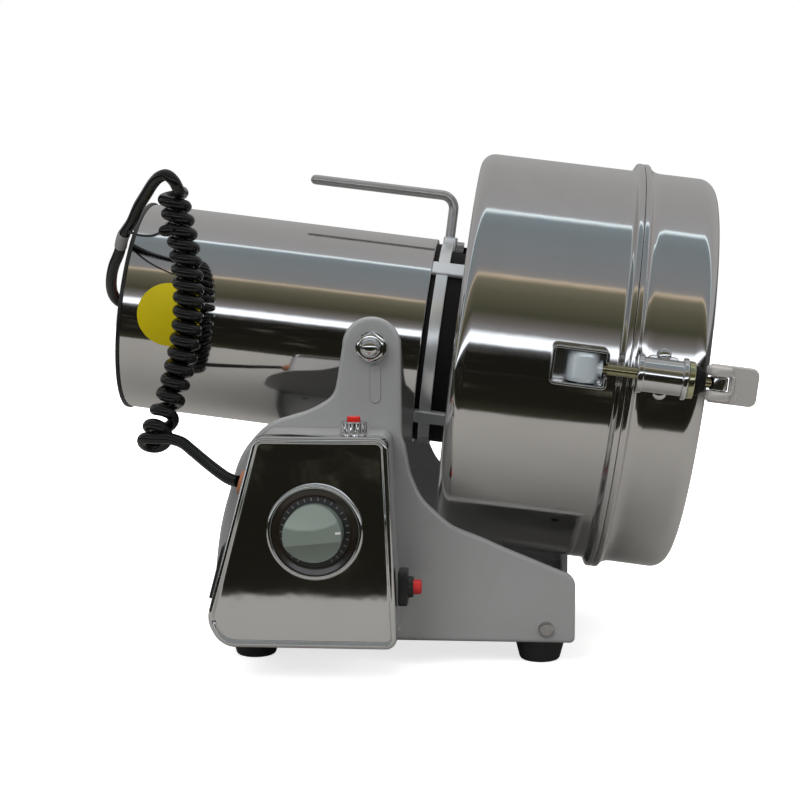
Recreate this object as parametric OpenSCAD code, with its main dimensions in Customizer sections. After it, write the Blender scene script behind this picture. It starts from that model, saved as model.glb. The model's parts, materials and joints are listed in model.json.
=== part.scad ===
// Electric herb grinder of the swing type. The head, which is motor, bowl and
// lid on one axis, hangs on a pivot between the ears of a painted stand.
// +X runs towards the lid, -Y towards the control box, +Z up.

/* [Head] */
// Tilt of the head axis, lid end down
head_tilt = 7; // [0:0.5:9]
// Radius of the motor shell
shell_r = 63.6; // [60:0.2:66]
// Wall of the motor shell
shell_t = 1.5; // [1:0.1:2.5]
// Reach of the motor shell behind the pivot
shell_rear = 153; // [140:1:156]
// Reach of the motor shell in front of the pivot
shell_front = 27; // [24:0.5:29]
// Thickness of the black gasket in front of the shell
gasket_t = 3; // [1.5:0.1:4]
// Width of the spacer ring
ring_w = 7; // [6:0.2:9]
// Distance from the spacer ring to the bowl
ring_gap = 10.5; // [8:0.5:14]

/* [Bowl and lid] */
// Outer radius of the bowl
bowl_r = 119.7; // [116:0.1:124]
// Wall of the bowl
bowl_t = 2; // [1.2:0.1:3]
// Thickness of the bowl's back
bowl_back_t = 4; // [3.5:0.5:6]
// Outer radius of the corner at the back of the bowl
bowl_corner_r = 8.5; // [5:0.5:14]
// Depth of the bowl from its back to the seam
bowl_depth = 97.5; // [92:0.5:104]
// Height of the bead at the seam above the wall
bead_out = 4.7; // [3:0.1:6]
// Width of each half of the bead
bead_w = 7; // [5:0.5:9]
// Depth of the lid from the seam to its end
lid_depth = 45.5; // [40:0.5:52]
// Outer radius of the corner at the end of the lid
lid_corner_r = 10; // [6:0.5:16]
// Thickness of the lid gasket
lid_gasket_t = 1; // [0.6:0.1:1.5]

/* [Rotor and motor] */
// Radius of the shaft
shaft_r = 6; // [5:0.5:7]
// Outer radius of the shaft bearings
bearing_r = 16; // [14:0.5:18]
// Width of the shaft bearings
bearing_w = 10; // [8:0.5:12]
// Radius of the armature as a share of the shell's inner radius
armature_share = 0.4; // [0.36:0.01:0.44]
// Length of the armature and of the stator core
core_len = 58; // [50:1:62]
// Slots round the armature
armature_slots = 12; // [8:1:16]
// Bars round the commutator
commutator_bars = 20; // [12:1:24]
// Blades of the cooling fan
fan_blades = 11; // [7:1:15]
// Reach of the lower blade from the shaft
lower_blade_r = 104; // [90:1:108]
// Reach of the upper blade from the shaft
upper_blade_r = 98; // [80:1:104]
// Thickness of the blades
blade_t = 2.5; // [2:0.1:4]

/* [Stand] */
// Room between the bowl's wall and the floor, at the pivot
bowl_clear = 66.3; // [64:0.1:90]
// Distance from the motor shell to the outer face of a side frame
frame_gap = 23.4; // [21:0.1:27]
// Thickness of the side frames
frame_t = 3; // [2:0.25:4]
// Reach of the stand towards the lid
stand_right = 118; // [112:1:126]
// Reach of the stand towards the rear of the motor
stand_left = 93; // [88:1:100]
// Half width of the ear at the pivot
ear_r = 17; // [14:0.5:19]
// Height of the rubber feet
foot_h = 14; // [12:0.5:18]
// Radius of a foot at its top
foot_top_r = 14.4; // [12:0.2:16]
// Radius of a foot at the floor
foot_low_r = 11.5; // [9:0.2:13]
// Thickness of the base pan
pan_t = 2; // [1.5:0.25:3]
// Radius of the pivot bolt
pivot_bolt_r = 5; // [4:0.25:6]

/* [Control box] */
// Depth of the control box in front of the side frame
box_depth = 51; // [46:1:58]
// Wall of the control box
box_t = 1.6; // [1.2:0.1:2.5]
// Thickness of the control panel
panel_t = 2; // [1.5:0.1:3]
// Outer radius of the dial bezel
bezel_r = 26.8; // [24:0.2:29]
// Radius of the timer knob
knob_r = 16.2; // [14:0.2:19]
// Height of the timer knob
knob_h = 15; // [12:0.5:20]
// Radius of the lamp bezel
lamp_r = 7.6; // [6:0.2:9]
// Travel of the reset button
reset_travel = 2.5; // [1.5:0.1:3]

/* [Clamps] */
// Distance from the bowl's wall to the clamp line
clamp_out = 16.3; // [15.3:0.1:20]
// Rise of the clamp line above the head axis
clamp_rise = 8; // [0:0.5:10]
// Distance from the seam back to the clamp hinge
clamp_hinge_back = 26; // [23:0.5:29]
// Radius of the clamp rod
clamp_rod_r = 3; // [2:0.25:3.5]
// Radius and half height of the clamp block
clamp_block_r = 9; // [7:0.5:9.5]
// Radius of the clamp sleeve
sleeve_r = 9.5; // [9:0.1:9.8]
// Radius of the collar that holds the lid
collar_r = 11.4; // [11:0.1:11.6]
// Length of the cam lever
lever_len = 29; // [24:0.5:36]
// Width of the cam lever
lever_w = 23; // [18:0.5:26]

/* [Lead] */
// Diameter of the motor lead
lead_d = 6.8; // [5:0.1:7]
// Whole curls of the curly part
curls = 17; // [12:1:17]

/* [Hidden] */
$fn = 48;

// Overrun of every cut
cut = 1;
// Clearance between pieces that stay together
fit = 0.05;
// Running clearance of pins, shafts and sliding pieces
run = 0.2;
// Gap between pieces that move past each other
pass = 0.4;
// Radius of a small broken edge
edge_r = 1;

// Main places that follow from the sizes above
pivot_h = bowl_r + bowl_clear;
stand_drop = pivot_h - foot_h;
frame_y = shell_r + frame_gap;
bead_r = bowl_r + bead_out;
clamp_y = bowl_r + clamp_out;

// Places along the head axis, counted from the pivot
ring_u = shell_front + gasket_t;
bowl_u = ring_u + ring_w + ring_gap;
seam_u = bowl_u + bowl_depth;
lid_u = seam_u + lid_gasket_t + 2 * fit;
lid_end_u = seam_u + lid_depth;
shell_in_r = shell_r - shell_t;
clamp_hinge_u = seam_u - clamp_hinge_back;

// Rear end of the motor
trim_t = 0.9;
trim_w = 4;
trim_in = 1;
trim_edge = 0.5;
cap_t = 1.5;
cap_bulge = 2;
cap_rim_w = 8;
cap_step = 1;
cap_lip = 9;
cap_slots = 18;
cap_slot_w = 3.2;
cap_slot_share = 0.42;
cap_slot_len_share = 0.26;
gland_r = 6.5;
gland_neck = 1;
gland_taper = 1.6;
gland_flare = 1.5;
gland_len = 5.5;
gland_in = 6;

// Places and sizes of the inner motor pieces
bell_t = 6;
bell_u = shell_front - bell_t;
bell_wall = 4;
bell_hub_r = bearing_r + bell_wall;
bell_flare = 6;
bell_over = 3;
bell_step = 3;
bell_rib_w = 4;
bell_rib_h = 4;
bell_vent_r = 6;
bell_vent_share = 0.61;
front_bearing_in = 2;
front_bearing_u = ring_u + front_bearing_in;
fan_w = 12;
fan_room = 5;
fan_u = bell_u - fan_w - fan_room;
fan_gap = 8;
fan_plate_t = 1.6;
fan_hub_t = 6;
fan_arc_share = 0.48;
fan_shares = [0.62, 0.42];
core_room = 14;
core_u = fan_u - core_len - core_room;
commutator_w = 18;
commutator_t = 7;
commutator_r = shaft_r + commutator_t;
commutator_room = 12;
commutator_u = core_u - commutator_w - commutator_room;
commutator_riser = 3;
commutator_lip = 2;
bar_gap = 0.6;
bar_deep = 1;
bracket_room = 14;
bracket_u = commutator_u - bracket_room;
bracket_rim_w = 5;
bracket_rim_len = 10;
bracket_floor = 2;
bracket_arm_w = 12;
bracket_arm_t = 6;
core_r = shell_in_r - run;
armature_r = armature_share * shell_in_r;
air_gap = 1;
pole_r = armature_r + air_gap;
yoke_share = 0.145;
shoe_share = 0.113;
yoke_in_r = core_r - yoke_share * shell_in_r;
shoe_r = pole_r + shoe_share * shell_in_r;
coil_over = 9;
slot_r = 2.4;
slot_in = 1.5;
end_turn_w = 8;
end_turn_in = 5;
end_turn_lap = 0.5;
brush_w = 10;
brush_t = 6;
brush_len = 16;
brush_seat = 4;
brush_room = 8;
holder_t = 1.5;
holder_in = 4;
race_t = 3;
shield_in = 1;

// Shaft hub in the bowl, and the blades
hub_r = 20;
hub_in = 8;
hub_foot = 4;
hub_round_r = 2;
seal_r = 12;
seal_w = 6;
seal_edge = 1.5;
seal_lip = 2;
seal_groove = 1;
blade_room = 3;
lower_u = bowl_u + bowl_back_t + hub_in + blade_room;
blade_hub_r = 15;
blade_hub_w = 10;
upper_u = lower_u + blade_hub_w;
blade_nut_w = 9;
blade_nut_r = 11;
nut_collar_t = 2;
nut_collar = 1;
nut_slope = 4;
nut_bevel = 1.5;
shaft_short = 3;
shaft_end_u = upper_u + blade_hub_w + blade_nut_w - shaft_short;
shaft_inset = 0.5;
shaft_tip = 1.5;
blade_root_w = 26;
blade_tip_w = 15;
blade_bend_r = 42;
blade_bevel = 5;
blade_grind = 24;
blade_seat = 3;
blade_back_share = 0.82;
blade_cut_share = 0.88;
blade_nose_share = 0.5;
lower_bend = 4;
upper_bend = 14;

// Lugs, studs and the lift handle
ring_inset = 0.6;
gasket_inset = 2.6;
gasket_hub_gap = 4;
lug_w = 10;
lug_turn = 4;
lug_angles = [for (i = [0 : 3]) 45 - lug_turn + 90 * i];
lug_over = 0.4;
lug_r = shell_r + lug_over;
lug_low_r = shell_r - gasket_inset + fit;
ring_w_in = 13.6;
lug_in_r = shell_r - ring_w_in;
lug_round_r = 0.5;
stud_r = 2.5;
stud_place_in = 7.6;
stud_place_r = shell_r - stud_place_in;
stud_in_bowl = 3;
stud_head_r = 4.5;
stud_head_t = 3.5;
handle_r = 3;
handle_place = 3.7;
handle_u = ring_u + handle_place;
handle_rise = 91;
handle_bend_r = 8;
handle_reach = 90;
handle_sink = 6;
handle_lug_out = 2.4;
handle_lug_top = shell_r + handle_lug_out;
handle_lug_w = 12;
handle_lug_over = 1.4;
lock_place_in = 4.1;
lock_place_r = shell_r - lock_place_in;
lock_r = 2;
lock_head_r = 4.2;
lock_head_t = 4.5;
lock_notch_front = 20;
lock_notch_back = 7;

// Pivot
boss_r = 13;
boss_in = 6;
bolt_in = 1;
bolt_short = 2;
washer_r = 9.2;
washer_t = 1.5;
nut_flat = 15;
nut_t = 7;
dome_r = 6.2;
dome_sink = 2;

// Bead and lid profile
bead_round_r = 2.6;
lid_bulge = 1;
lid_mid_share = 0.5;
lid_mid_drop = 0.3;
seal_side = 1;

// Clamps
bracket_w = 31;
bracket_h = 26.5;
bracket_t = 2.5;
bracket_shift = 2;
bracket_foot = 14;
bracket_in = 12.8;
bracket_room_out = 10;
bracket_out = clamp_y + bracket_room_out;
slot_side = 0.9;
slot_over = 1.4;
trunnion_r = 3;
sleeve_place = 3.3;
sleeve_u = seam_u + sleeve_place;
sleeve_len = 28;
sleeve_edge = 0.8;
collar_w = 3.4;
small_collar_out = 0.9;
small_collar_r = sleeve_r + small_collar_out;
catch_gap = 1.2;
clamp_washer_r = 8.5;
clamp_washer_t = 3;
lever_room = 13.2;
lever_pin_u = sleeve_u + sleeve_len + clamp_washer_t + lever_room;
lever_pin_r = 2.5;
lever_pin_inset = 2;
eye_r = 5;
eye_h = 7;
lever_hub_r = 7.4;
lever_t = 5;
lever_corner_r = 4;
lever_tip_u = lever_pin_u - lever_hub_r + lever_len;
saddle_t = 1.8;
saddle_deep = 12;
saddle_room = 2.6;
saddle_u = seam_u + bead_w + saddle_room;
saddle_end = sleeve_u + sleeve_len - collar_w - catch_gap;
saddle_h = 30;
saddle_block_h = 14;
saddle_block_in = 8;
saddle_step_share = 0.35;
saddle_cup = 2.1;
saddle_top = clamp_y - sleeve_r + saddle_cup;
rivet_r = 2.6;
rivet_t = 1.2;
rivet_taper = 1;
rivet_share = 0.4;

// Control box outline, counted from the pivot, as seen from the front
box_top = 47.1;
box_rise = 7.4;
box_low = stand_drop - box_rise;
box_right_top = 11.9;
box_right_low = 17.5;
box_left_top = 59.8;
box_left_low = 87;
box_round_r = 14;
box_slope_share = 1.1;
box_y = frame_y + fit;
panel_lap = 9;
panel_over = 1.2;
rim_w = 3.4;
rim_h = 1.3;
panel_y = box_y + box_depth;
panel_front = panel_y + panel_t;
wall_drop = box_low - box_round_r - box_top;
left_lean = atan((box_left_low - box_left_top) / wall_drop);
left_wall_len = wall_drop / cos(left_lean);
wall_hole_len = 12;

// Timer and its dial
timer_x = -26.7;
timer_drop = 51.4;
timer_z = -box_top - timer_drop;
timer_r = 21;
timer_len = 34;
timer_flute_r = 3;
timer_flute_out = 1.5;
timer_flange_t = 4;
spindle_r = 3;
spindle_hole_r = 6;
dial_t = 1.2;
dial_rim_t = 2;
dial_flat_r = 19.8;
dial_hole_gap = 0.6;
mark_len = 2.2;
mark_w = 0.6;
mark_h = 0.2;
mark_inset = 0.4;
bezel_t = 3.4;
bezel_w = 2.8;
knob_base_t = 4;
knob_gap = pass;
knob_taper = 0.8;
knob_turn = 6;
scoop_r = 50;
scoop_out = 25;
scoop_rise = 33.3;
pointer_len = 7;
pointer_w = 1.2;
pointer_deep = 0.8;
knob_roof = 6;
knob_bore = knob_h - knob_roof;
spindle_out = panel_t + fit + dial_t + knob_gap + knob_bore - pass;
knob_front = panel_front + dial_t + knob_gap + knob_h;

// Pilot lamp
lamp_x = -7.4;
lamp_place = 30;
lamp_y = frame_y + lamp_place;
lamp_h = 7.5;
lamp_round_r = 2;
lamp_stem_r = 4.6;
lamp_stem_len = 14;
lens_r = 4;
lens_sink = 3;
lens_out = 2.8;

// Overload breaker and its button
breaker_rise = 31.1;
breaker_z = -box_low + breaker_rise;
breaker_place = 30;
breaker_y = frame_y + breaker_place;
breaker_gap = 0.3;
breaker_w = 15;
breaker_h = 20;
breaker_t = 5.5;
breaker_round_r = 2;
breaker_stem_r = 5.5;
breaker_stem_len = 16;
collar_nut_r = 6.2;
collar_nut_t = 3;
button_r = 4.3;
button_round_r = 1.2;
button_out = 4.5;
button_in = 6;

// Power inlet and lead grommet on the sloped wall
inlet_place = 26;
inlet_y = frame_y + inlet_place;
inlet_rise = 25;
inlet_drop = left_wall_len - inlet_rise;
inlet_w = 26;
inlet_h = 31;
inlet_round_r = 3;
inlet_out = 4.5;
inlet_body_w = 22;
inlet_body_h = 27;
inlet_body_len = 22;
recess_w = 16.5;
recess_h = 21.5;
recess_len = 15;
recess_round_r = 2.5;
inlet_pins = [[0, 6], [0, -6], [4.5, 0]];
inlet_pin_w = 4;
inlet_pin_t = 2;
inlet_pin_len = 12;
grommet_place = 33.5;
grommet_y = frame_y + grommet_place;
grommet_drop = 29.2;
grommet_r = 6.6;
grommet_lip_r = 8.2;
grommet_taper = 1.4;
grommet_out = 4.4;
grommet_in = 3;

// Centre of the box that holds the whole object, from the pivot
function turned_x(u, z) = u * cos(head_tilt) + z * sin(head_tilt);
x_max = turned_x(lever_tip_u, clamp_rise + lever_w / 2 - lever_corner_r);
x_min = turned_x(-shell_rear - trim_t, -shell_r - trim_t);
pivot_x = -(x_max + x_min) / 2;
pivot_y = (knob_front - (clamp_y + collar_r)) / 2;

// Modules that place pieces
module at_pivot() {
    translate([pivot_x, pivot_y, pivot_h]) children();
}

// Head frame: X runs along the head axis, away from the pivot to the lid
module head() {
    at_pivot() rotate([0, head_tilt, 0]) children();
}

// Turns a piece that is drawn round Z so that it lies round the head axis
module on_axis(u) {
    head() translate([u, 0, 0]) rotate([0, 90, 0]) children();
}

// Turns a piece that is drawn round Z so that it points to the viewer
module to_front() {
    rotate([90, 0, 0]) children();
}

// Tube between two radii
module tube(r_out, r_in, h, n = 96) {
    difference() {
        cylinder(r = r_out, h = h, $fn = n);
        translate([0, 0, -cut]) cylinder(r = r_in, h = h + 2 * cut, $fn = n);
    }
}

// Bar with rounded corners in its plan
module round_bar(l, w, h, r) {
    linear_extrude(h) polygon(round_box_points(l, w, r));
}

// Points of an arc
function arc(cx, cy, r, a0, a1, n) =
    [for (i = [0 : n]) [cx + r * cos(a0 + (a1 - a0) * i / n),
                        cy + r * sin(a0 + (a1 - a0) * i / n)]];

function round_box_points(l, w, r) = concat(
    arc(l / 2 - r, w / 2 - r, r, 0, 90, 6),
    arc(-l / 2 + r, w / 2 - r, r, 90, 180, 6),
    arc(-l / 2 + r, -w / 2 + r, r, 180, 270, 6),
    arc(l / 2 - r, -w / 2 + r, r, 270, 360, 6));

// Mirrors a clamp piece to the rear side of the head
module clamp_side(s) {
    head() mirror([0, s > 0 ? 0 : 1, 0]) children();
}

// Stand outline, seen from the front, with the pivot at its origin. The shares
// are of the reach to the left or right, and of the drop to the lower edge.
left_shares = [[0.232, 0.166], [0.314, 0.193], [0.401, 0.217], [0.501, 0.234],
    [0.596, 0.250], [0.665, 0.272], [0.733, 0.308], [0.796, 0.352], [0.840, 0.399],
    [0.871, 0.450], [0.896, 0.498], [0.928, 0.559], [0.959, 0.640], [1.0, 0.877]];
right_shares = [[0.152, 0.295], [0.168, 0.335], [0.190, 0.415], [0.214, 0.463],
    [0.250, 0.510], [0.308, 0.552], [0.399, 0.603], [0.533, 0.640], [0.656, 0.677],
    [0.794, 0.715], [0.913, 0.748]];
stand_round_r = 9;
stand_low_r = 3;

function stand_points() = concat(
    arc(0, 0, ear_r, 0, 180, 18),
    [for (s = left_shares) [-s[0] * stand_left, -s[1] * stand_drop]],
    arc(-stand_left + stand_low_r, -stand_drop + stand_low_r, stand_low_r, 180, 270, 3),
    arc(stand_right - stand_low_r, -stand_drop + stand_low_r, stand_low_r, 270, 360, 3),
    arc(stand_right - stand_round_r,
        -right_shares[10][1] * stand_drop - stand_round_r - edge_r, stand_round_r, 0, 62, 5),
    [for (i = [len(right_shares) - 1 : -1 : 0])
        [right_shares[i][0] * stand_right, -right_shares[i][1] * stand_drop]]);

// Screws of the stand and walls of its pan
screw_r = 2.5;
screw_head_r = 4.6;
screw_head_h = 2.6;
screw_round_r = 2;
screw_in = 3;
screw_shares = [-0.72, 0.12, 0.86];
screw_rise = 8;
pan_lip_h = 16;
pan_in_y = frame_y - frame_t - fit;
pan_right_share = 0.12;
pan_left_share = 0.15;
wire_hole_r = 6.6;

function screw_x(p) = p < 0 ? p * stand_left : p * stand_right;
function screw_z() = -stand_drop + screw_rise;

// Side frame with holes for the pivot bolt and the screws; the front one also
// lets the motor's wires into the control box
module side_frame(s) {
    y0 = -(frame_y - frame_t);
    color([0.70, 0.71, 0.71]) at_pivot() mirror([0, s > 0 ? 0 : 1, 0])
    difference() {
        translate([0, y0, 0]) to_front() linear_extrude(frame_t) polygon(stand_points());
        translate([0, y0 + cut, 0])
            to_front() cylinder(r = pivot_bolt_r + run, h = frame_t + 2 * cut);
        for (p = screw_shares) translate([screw_x(p), y0 + cut, screw_z()])
            to_front() cylinder(r = screw_r + run, h = frame_t + 2 * cut);
        if (s > 0) {
            translate([timer_x + timer_r, y0 + cut, timer_z])
                to_front() cylinder(r = wire_hole_r, h = frame_t + 2 * cut);
        }
    }
}

module front_side_frame() {
    side_frame(1);
}

module rear_side_frame() {
    side_frame(-1);
}

// Pan that ties the side frames: floor, two low end walls and two side lips
module base_pan() {
    w = 2 * pan_in_y;
    x0 = -stand_left + stand_low_r;
    l = stand_left + stand_right - 2 * stand_low_r;
    color([0.62, 0.63, 0.63]) at_pivot() difference() {
        union() {
            translate([x0, -pan_in_y, -stand_drop]) cube([l, w, pan_t]);
            translate([x0 + l - pan_t, -pan_in_y, -stand_drop])
                cube([pan_t, w, pan_right_share * stand_drop]);
            translate([x0, -pan_in_y, -stand_drop])
                cube([pan_t, w, pan_left_share * stand_drop]);
            for (y = [-pan_in_y, pan_in_y - pan_t])
                translate([x0, y, -stand_drop]) cube([l, pan_t, pan_lip_h]);
        }
        for (p = screw_shares) translate([screw_x(p), pan_in_y + cut, screw_z()])
            to_front() cylinder(r = screw_r + run, h = w + 2 * cut);
        for (p = foot_places())
            translate([p[0], p[1], -stand_drop - cut])
                cylinder(r = screw_r + run, h = pan_t + 2 * cut);
    }
}

// Six screws through frames and pan; four have a pan head outside, and the two
// behind the control box are studs without one
module frame_screws() {
    l = frame_t + pan_t + screw_in + 2 * fit;
    color([0.75, 0.75, 0.76]) at_pivot()
    for (s = [-1, 1], p = screw_shares)
        mirror([0, s > 0 ? 0 : 1, 0])
        translate([screw_x(p), -pan_in_y + pan_t + screw_in, screw_z()]) to_front() {
            cylinder(r = screw_r, h = l);
            if (s < 0 || p == screw_shares[2]) translate([0, 0, l]) screw_head();
        }
}

module screw_head() {
    rotate_extrude() polygon(concat([[0, 0], [screw_head_r, 0]],
        arc(screw_head_r - screw_round_r, screw_head_h - screw_round_r, screw_round_r,
            0, 90, 5), [[0, screw_head_h]]));
}

foot_left_in = 22;
foot_right_in = 20;
foot_y_in = 20;
foot_rim_h = 3;
foot_stud_over = 1.5;
foot_stud_t = 2;
function foot_places() = [for (x = [-stand_left + foot_left_in, stand_right - foot_right_in],
    y = [-1, 1]) [x, y * (frame_y - foot_y_in)]];

// Four rubber feet, each with a moulded stud that holds it in the pan
module rubber_feet() {
    color([0.09, 0.09, 0.09]) at_pivot()
    for (p = foot_places()) translate([p[0], p[1], -pivot_h]) {
        rotate_extrude() polygon(concat([[0, 0]],
            arc(foot_low_r - edge_r, edge_r, edge_r, 270, 360, 3),
            [[foot_top_r, foot_h - foot_rim_h], [foot_top_r, foot_h - fit],
             [0, foot_h - fit]]));
        translate([0, 0, foot_h - 2 * fit]) cylinder(r = screw_r, h = pan_t + 4 * fit);
        translate([0, 0, foot_h + pan_t + fit])
            cylinder(r = screw_r + foot_stud_over, h = foot_stud_t);
    }
}

// Control box outline, drawn in by the given inset
function box_points(inset) = concat(
    [[-box_left_top + inset, -box_top - inset],
     [-box_left_low + inset * box_slope_share, -box_low + box_round_r]],
    arc(-box_left_low + box_round_r, -box_low + box_round_r, box_round_r - inset,
        180 + left_lean, 270, 7),
    [[box_right_low - inset, -box_low + inset], [box_right_top - inset, -box_top - inset]]);

module box_slab(inset, y0, t) {
    translate([0, -y0, 0]) to_front() linear_extrude(t) polygon(box_points(inset));
}

// Turns to the sloped left wall: Z down the wall, -X out of it
module on_left_wall(drop, y) {
    translate([-box_left_top, -y, -box_top]) rotate([0, left_lean, 0])
        translate([0, 0, -drop]) children();
}

// Painted box, open to the side frame and closed by the panel in front
module control_box() {
    color([0.70, 0.71, 0.71]) at_pivot() difference() {
        box_slab(0, box_y, box_depth - fit);
        box_slab(box_t, box_y - cut, box_depth + 2 * cut);
        translate([lamp_x, -lamp_y, -box_top - box_t - cut])
            cylinder(r = lamp_stem_r + run, h = box_t + 2 * cut);
        translate([box_right_top - box_t - cut, -breaker_y, breaker_z])
            rotate([0, 90, 0]) cylinder(r = breaker_stem_r + run, h = wall_hole_len);
        on_left_wall(grommet_drop, grommet_y) translate([-box_t - 2 * cut, 0, 0])
            rotate([0, 90, 0]) cylinder(r = grommet_r + fit, h = wall_hole_len);
        on_left_wall(inlet_drop, inlet_y)
            translate([-box_t - 2 * cut, -inlet_body_w / 2 - run, -inlet_body_h / 2 - run])
            cube([wall_hole_len, inlet_body_w + 2 * run, inlet_body_h + 2 * run]);
    }
}

// Bright front cover with a folded edge and a raised rim
module control_panel() {
    color([0.80, 0.80, 0.82]) at_pivot() difference() {
        union() {
            box_slab(-panel_over, panel_y, panel_t);
            box_slab(-panel_over, panel_y - panel_lap, panel_lap + cut);
            difference() {
                box_slab(-panel_over, panel_y + cut, panel_t + rim_h - cut);
                box_slab(rim_w, panel_y - cut, panel_t + rim_h + 2 * cut);
            }
        }
        box_slab(-fit, panel_y - panel_lap - cut, panel_lap + cut);
        translate([timer_x, -panel_y + cut, timer_z])
            to_front() cylinder(r = spindle_hole_r, h = panel_t + 2 * cut);
        translate([lamp_x, -lamp_y, -box_top - 2 * cut])
            cylinder(r = lamp_r + pass, h = lamp_h);
    }
}

// Spring-wound timer behind the panel, with its spindle
module timer_body() {
    y0 = panel_y - fit;
    color([0.25, 0.25, 0.27]) at_pivot() translate([timer_x, -y0 + timer_len, timer_z])
    to_front() {
        difference() {
            cylinder(r = timer_r, h = timer_len);
            for (a = [0 : 60 : 300]) rotate([0, 0, a])
                translate([timer_r + timer_flute_out, 0, timer_flange_t])
                cylinder(r = timer_flute_r, h = timer_len - 2 * timer_flange_t);
        }
        translate([0, 0, timer_len - fit]) cylinder(r = spindle_r, h = spindle_out);
    }
}

// Turns to the dial, in front of the panel by the given distance
module on_dial(out) {
    at_pivot() translate([timer_x, -panel_front - out, timer_z]) to_front() children();
}

// Ring with a round crown that frames the dial
module dial_bezel() {
    color([0.85, 0.85, 0.86]) on_dial(fit)
    rotate_extrude($fn = 96) polygon(concat([[bezel_r - bezel_w, 0], [bezel_r, 0]],
        arc(bezel_r - bezel_w / 2, bezel_t - bezel_w / 2, bezel_w / 2, 0, 180, 8)));
}

// Dish-shaped dial with raised minute marks
module dial_plate() {
    r_in = spindle_r + dial_hole_gap;
    r_out = bezel_r - bezel_w - fit;
    color([0.07, 0.07, 0.07]) on_dial(fit) {
        rotate_extrude($fn = 96) polygon([[r_in, 0], [r_out, 0], [r_out, dial_rim_t],
            [dial_flat_r, dial_t], [r_in, dial_t]]);
        for (a = [-60 : 20 : 240]) rotate([0, 0, a])
            translate([dial_flat_r - mark_inset - mark_len, -mark_w / 2, dial_t - fit])
            cube([mark_len, mark_w, mark_h + fit]);
    }
}

// Round knob with two scooped flats that leave a grip bar, and a pointer groove
module timer_knob() {
    color([0.52, 0.58, 0.50]) on_dial(fit + dial_t + knob_gap)
    difference() {
        rotate_extrude($fn = 72) polygon([[0, 0], [knob_r, 0], [knob_r, knob_base_t],
            [knob_r - knob_taper, knob_h - edge_r], [knob_r - knob_taper - edge_r, knob_h],
            [0, knob_h]]);
        rotate([0, 0, knob_turn]) {
            for (s = [-1, 1])
                translate([0, s * (knob_r + scoop_out), knob_h + scoop_rise])
                sphere(r = scoop_r, $fn = 96);
            translate([knob_r - pointer_len, -pointer_w / 2, knob_h - pointer_deep])
                cube([pointer_len + cut, pointer_w, pointer_deep + cut]);
        }
        translate([0, 0, -cut]) cylinder(r = spindle_r + run, h = knob_bore + cut);
    }
}

// Lamp bezel on the top face, with its stem in the box
module pilot_bezel() {
    color([0.85, 0.85, 0.86]) at_pivot()
    translate([lamp_x, -lamp_y, -box_top + fit]) difference() {
        union() {
            rotate_extrude() polygon(concat([[0, 0], [lamp_r, 0]],
                arc(lamp_r - lamp_round_r, lamp_h - lamp_round_r, lamp_round_r, 0, 90, 5),
                [[0, lamp_h]]));
            translate([0, 0, -lamp_stem_len])
                cylinder(r = lamp_stem_r, h = lamp_stem_len + cut);
        }
        translate([0, 0, lamp_h - lens_sink]) cylinder(r = lens_r + fit, h = lens_sink + cut);
    }
}

module pilot_lens() {
    h = lens_sink + lens_out;
    color([0.75, 0.08, 0.06]) at_pivot()
    translate([lamp_x, -lamp_y, -box_top + 2 * fit + lamp_h - lens_sink])
    rotate_extrude() polygon(concat([[0, 0], [lens_r, 0]],
        arc(lens_r - edge_r, h - edge_r, edge_r, 0, 90, 6), [[0, h]]));
}

// Overload breaker: flange outside the right wall and its body inside
module breaker_body() {
    button_room = button_in + reset_travel + pass;
    color([0.07, 0.07, 0.07]) at_pivot()
    translate([box_right_low + breaker_gap, -breaker_y, breaker_z])
    difference() {
        union() {
            rotate([90, 0, 90]) round_bar(breaker_w, breaker_h, breaker_t, breaker_round_r);
            translate([breaker_t - fit, 0, 0]) rotate([0, 90, 0])
                cylinder(r = collar_nut_r, h = collar_nut_t);
            translate([-breaker_stem_len, 0, 0]) rotate([0, 90, 0])
                cylinder(r = breaker_stem_r, h = breaker_stem_len + cut);
        }
        translate([breaker_t + collar_nut_t - button_room, 0, 0])
            rotate([0, 90, 0]) cylinder(r = button_r + run, h = button_room + cut);
    }
}

module reset_button() {
    l = button_in + button_out;
    color([0.70, 0.10, 0.08]) at_pivot()
    translate([box_right_low + breaker_gap + breaker_t + collar_nut_t - button_in,
        -breaker_y, breaker_z])
    rotate([0, 90, 0]) rotate_extrude() polygon(concat([[0, 0], [button_r, 0]],
        arc(button_r - button_round_r, l - button_round_r, button_round_r, 0, 90, 4),
        [[0, l]]));
}

// Power inlet with an open recess and three pins
module power_inlet() {
    color([0.06, 0.06, 0.06]) at_pivot() on_left_wall(inlet_drop, inlet_y) {
        difference() {
            union() {
                translate([-inlet_out - fit, 0, 0]) rotate([90, 0, 90])
                    round_bar(inlet_w, inlet_h, inlet_out, inlet_round_r);
                translate([-2 * fit, -inlet_body_w / 2, -inlet_body_h / 2])
                    cube([inlet_body_len, inlet_body_w, inlet_body_h]);
            }
            translate([-inlet_out - cut, 0, 0]) rotate([90, 0, 90])
                round_bar(recess_w, recess_h, recess_len + cut, recess_round_r);
        }
        for (p = inlet_pins) translate([recess_len - inlet_out - inlet_pin_len,
                p[0] - inlet_pin_t / 2, p[1] - inlet_pin_w / 2])
            cube([inlet_pin_len - fit, inlet_pin_t, inlet_pin_w]);
    }
}

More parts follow.
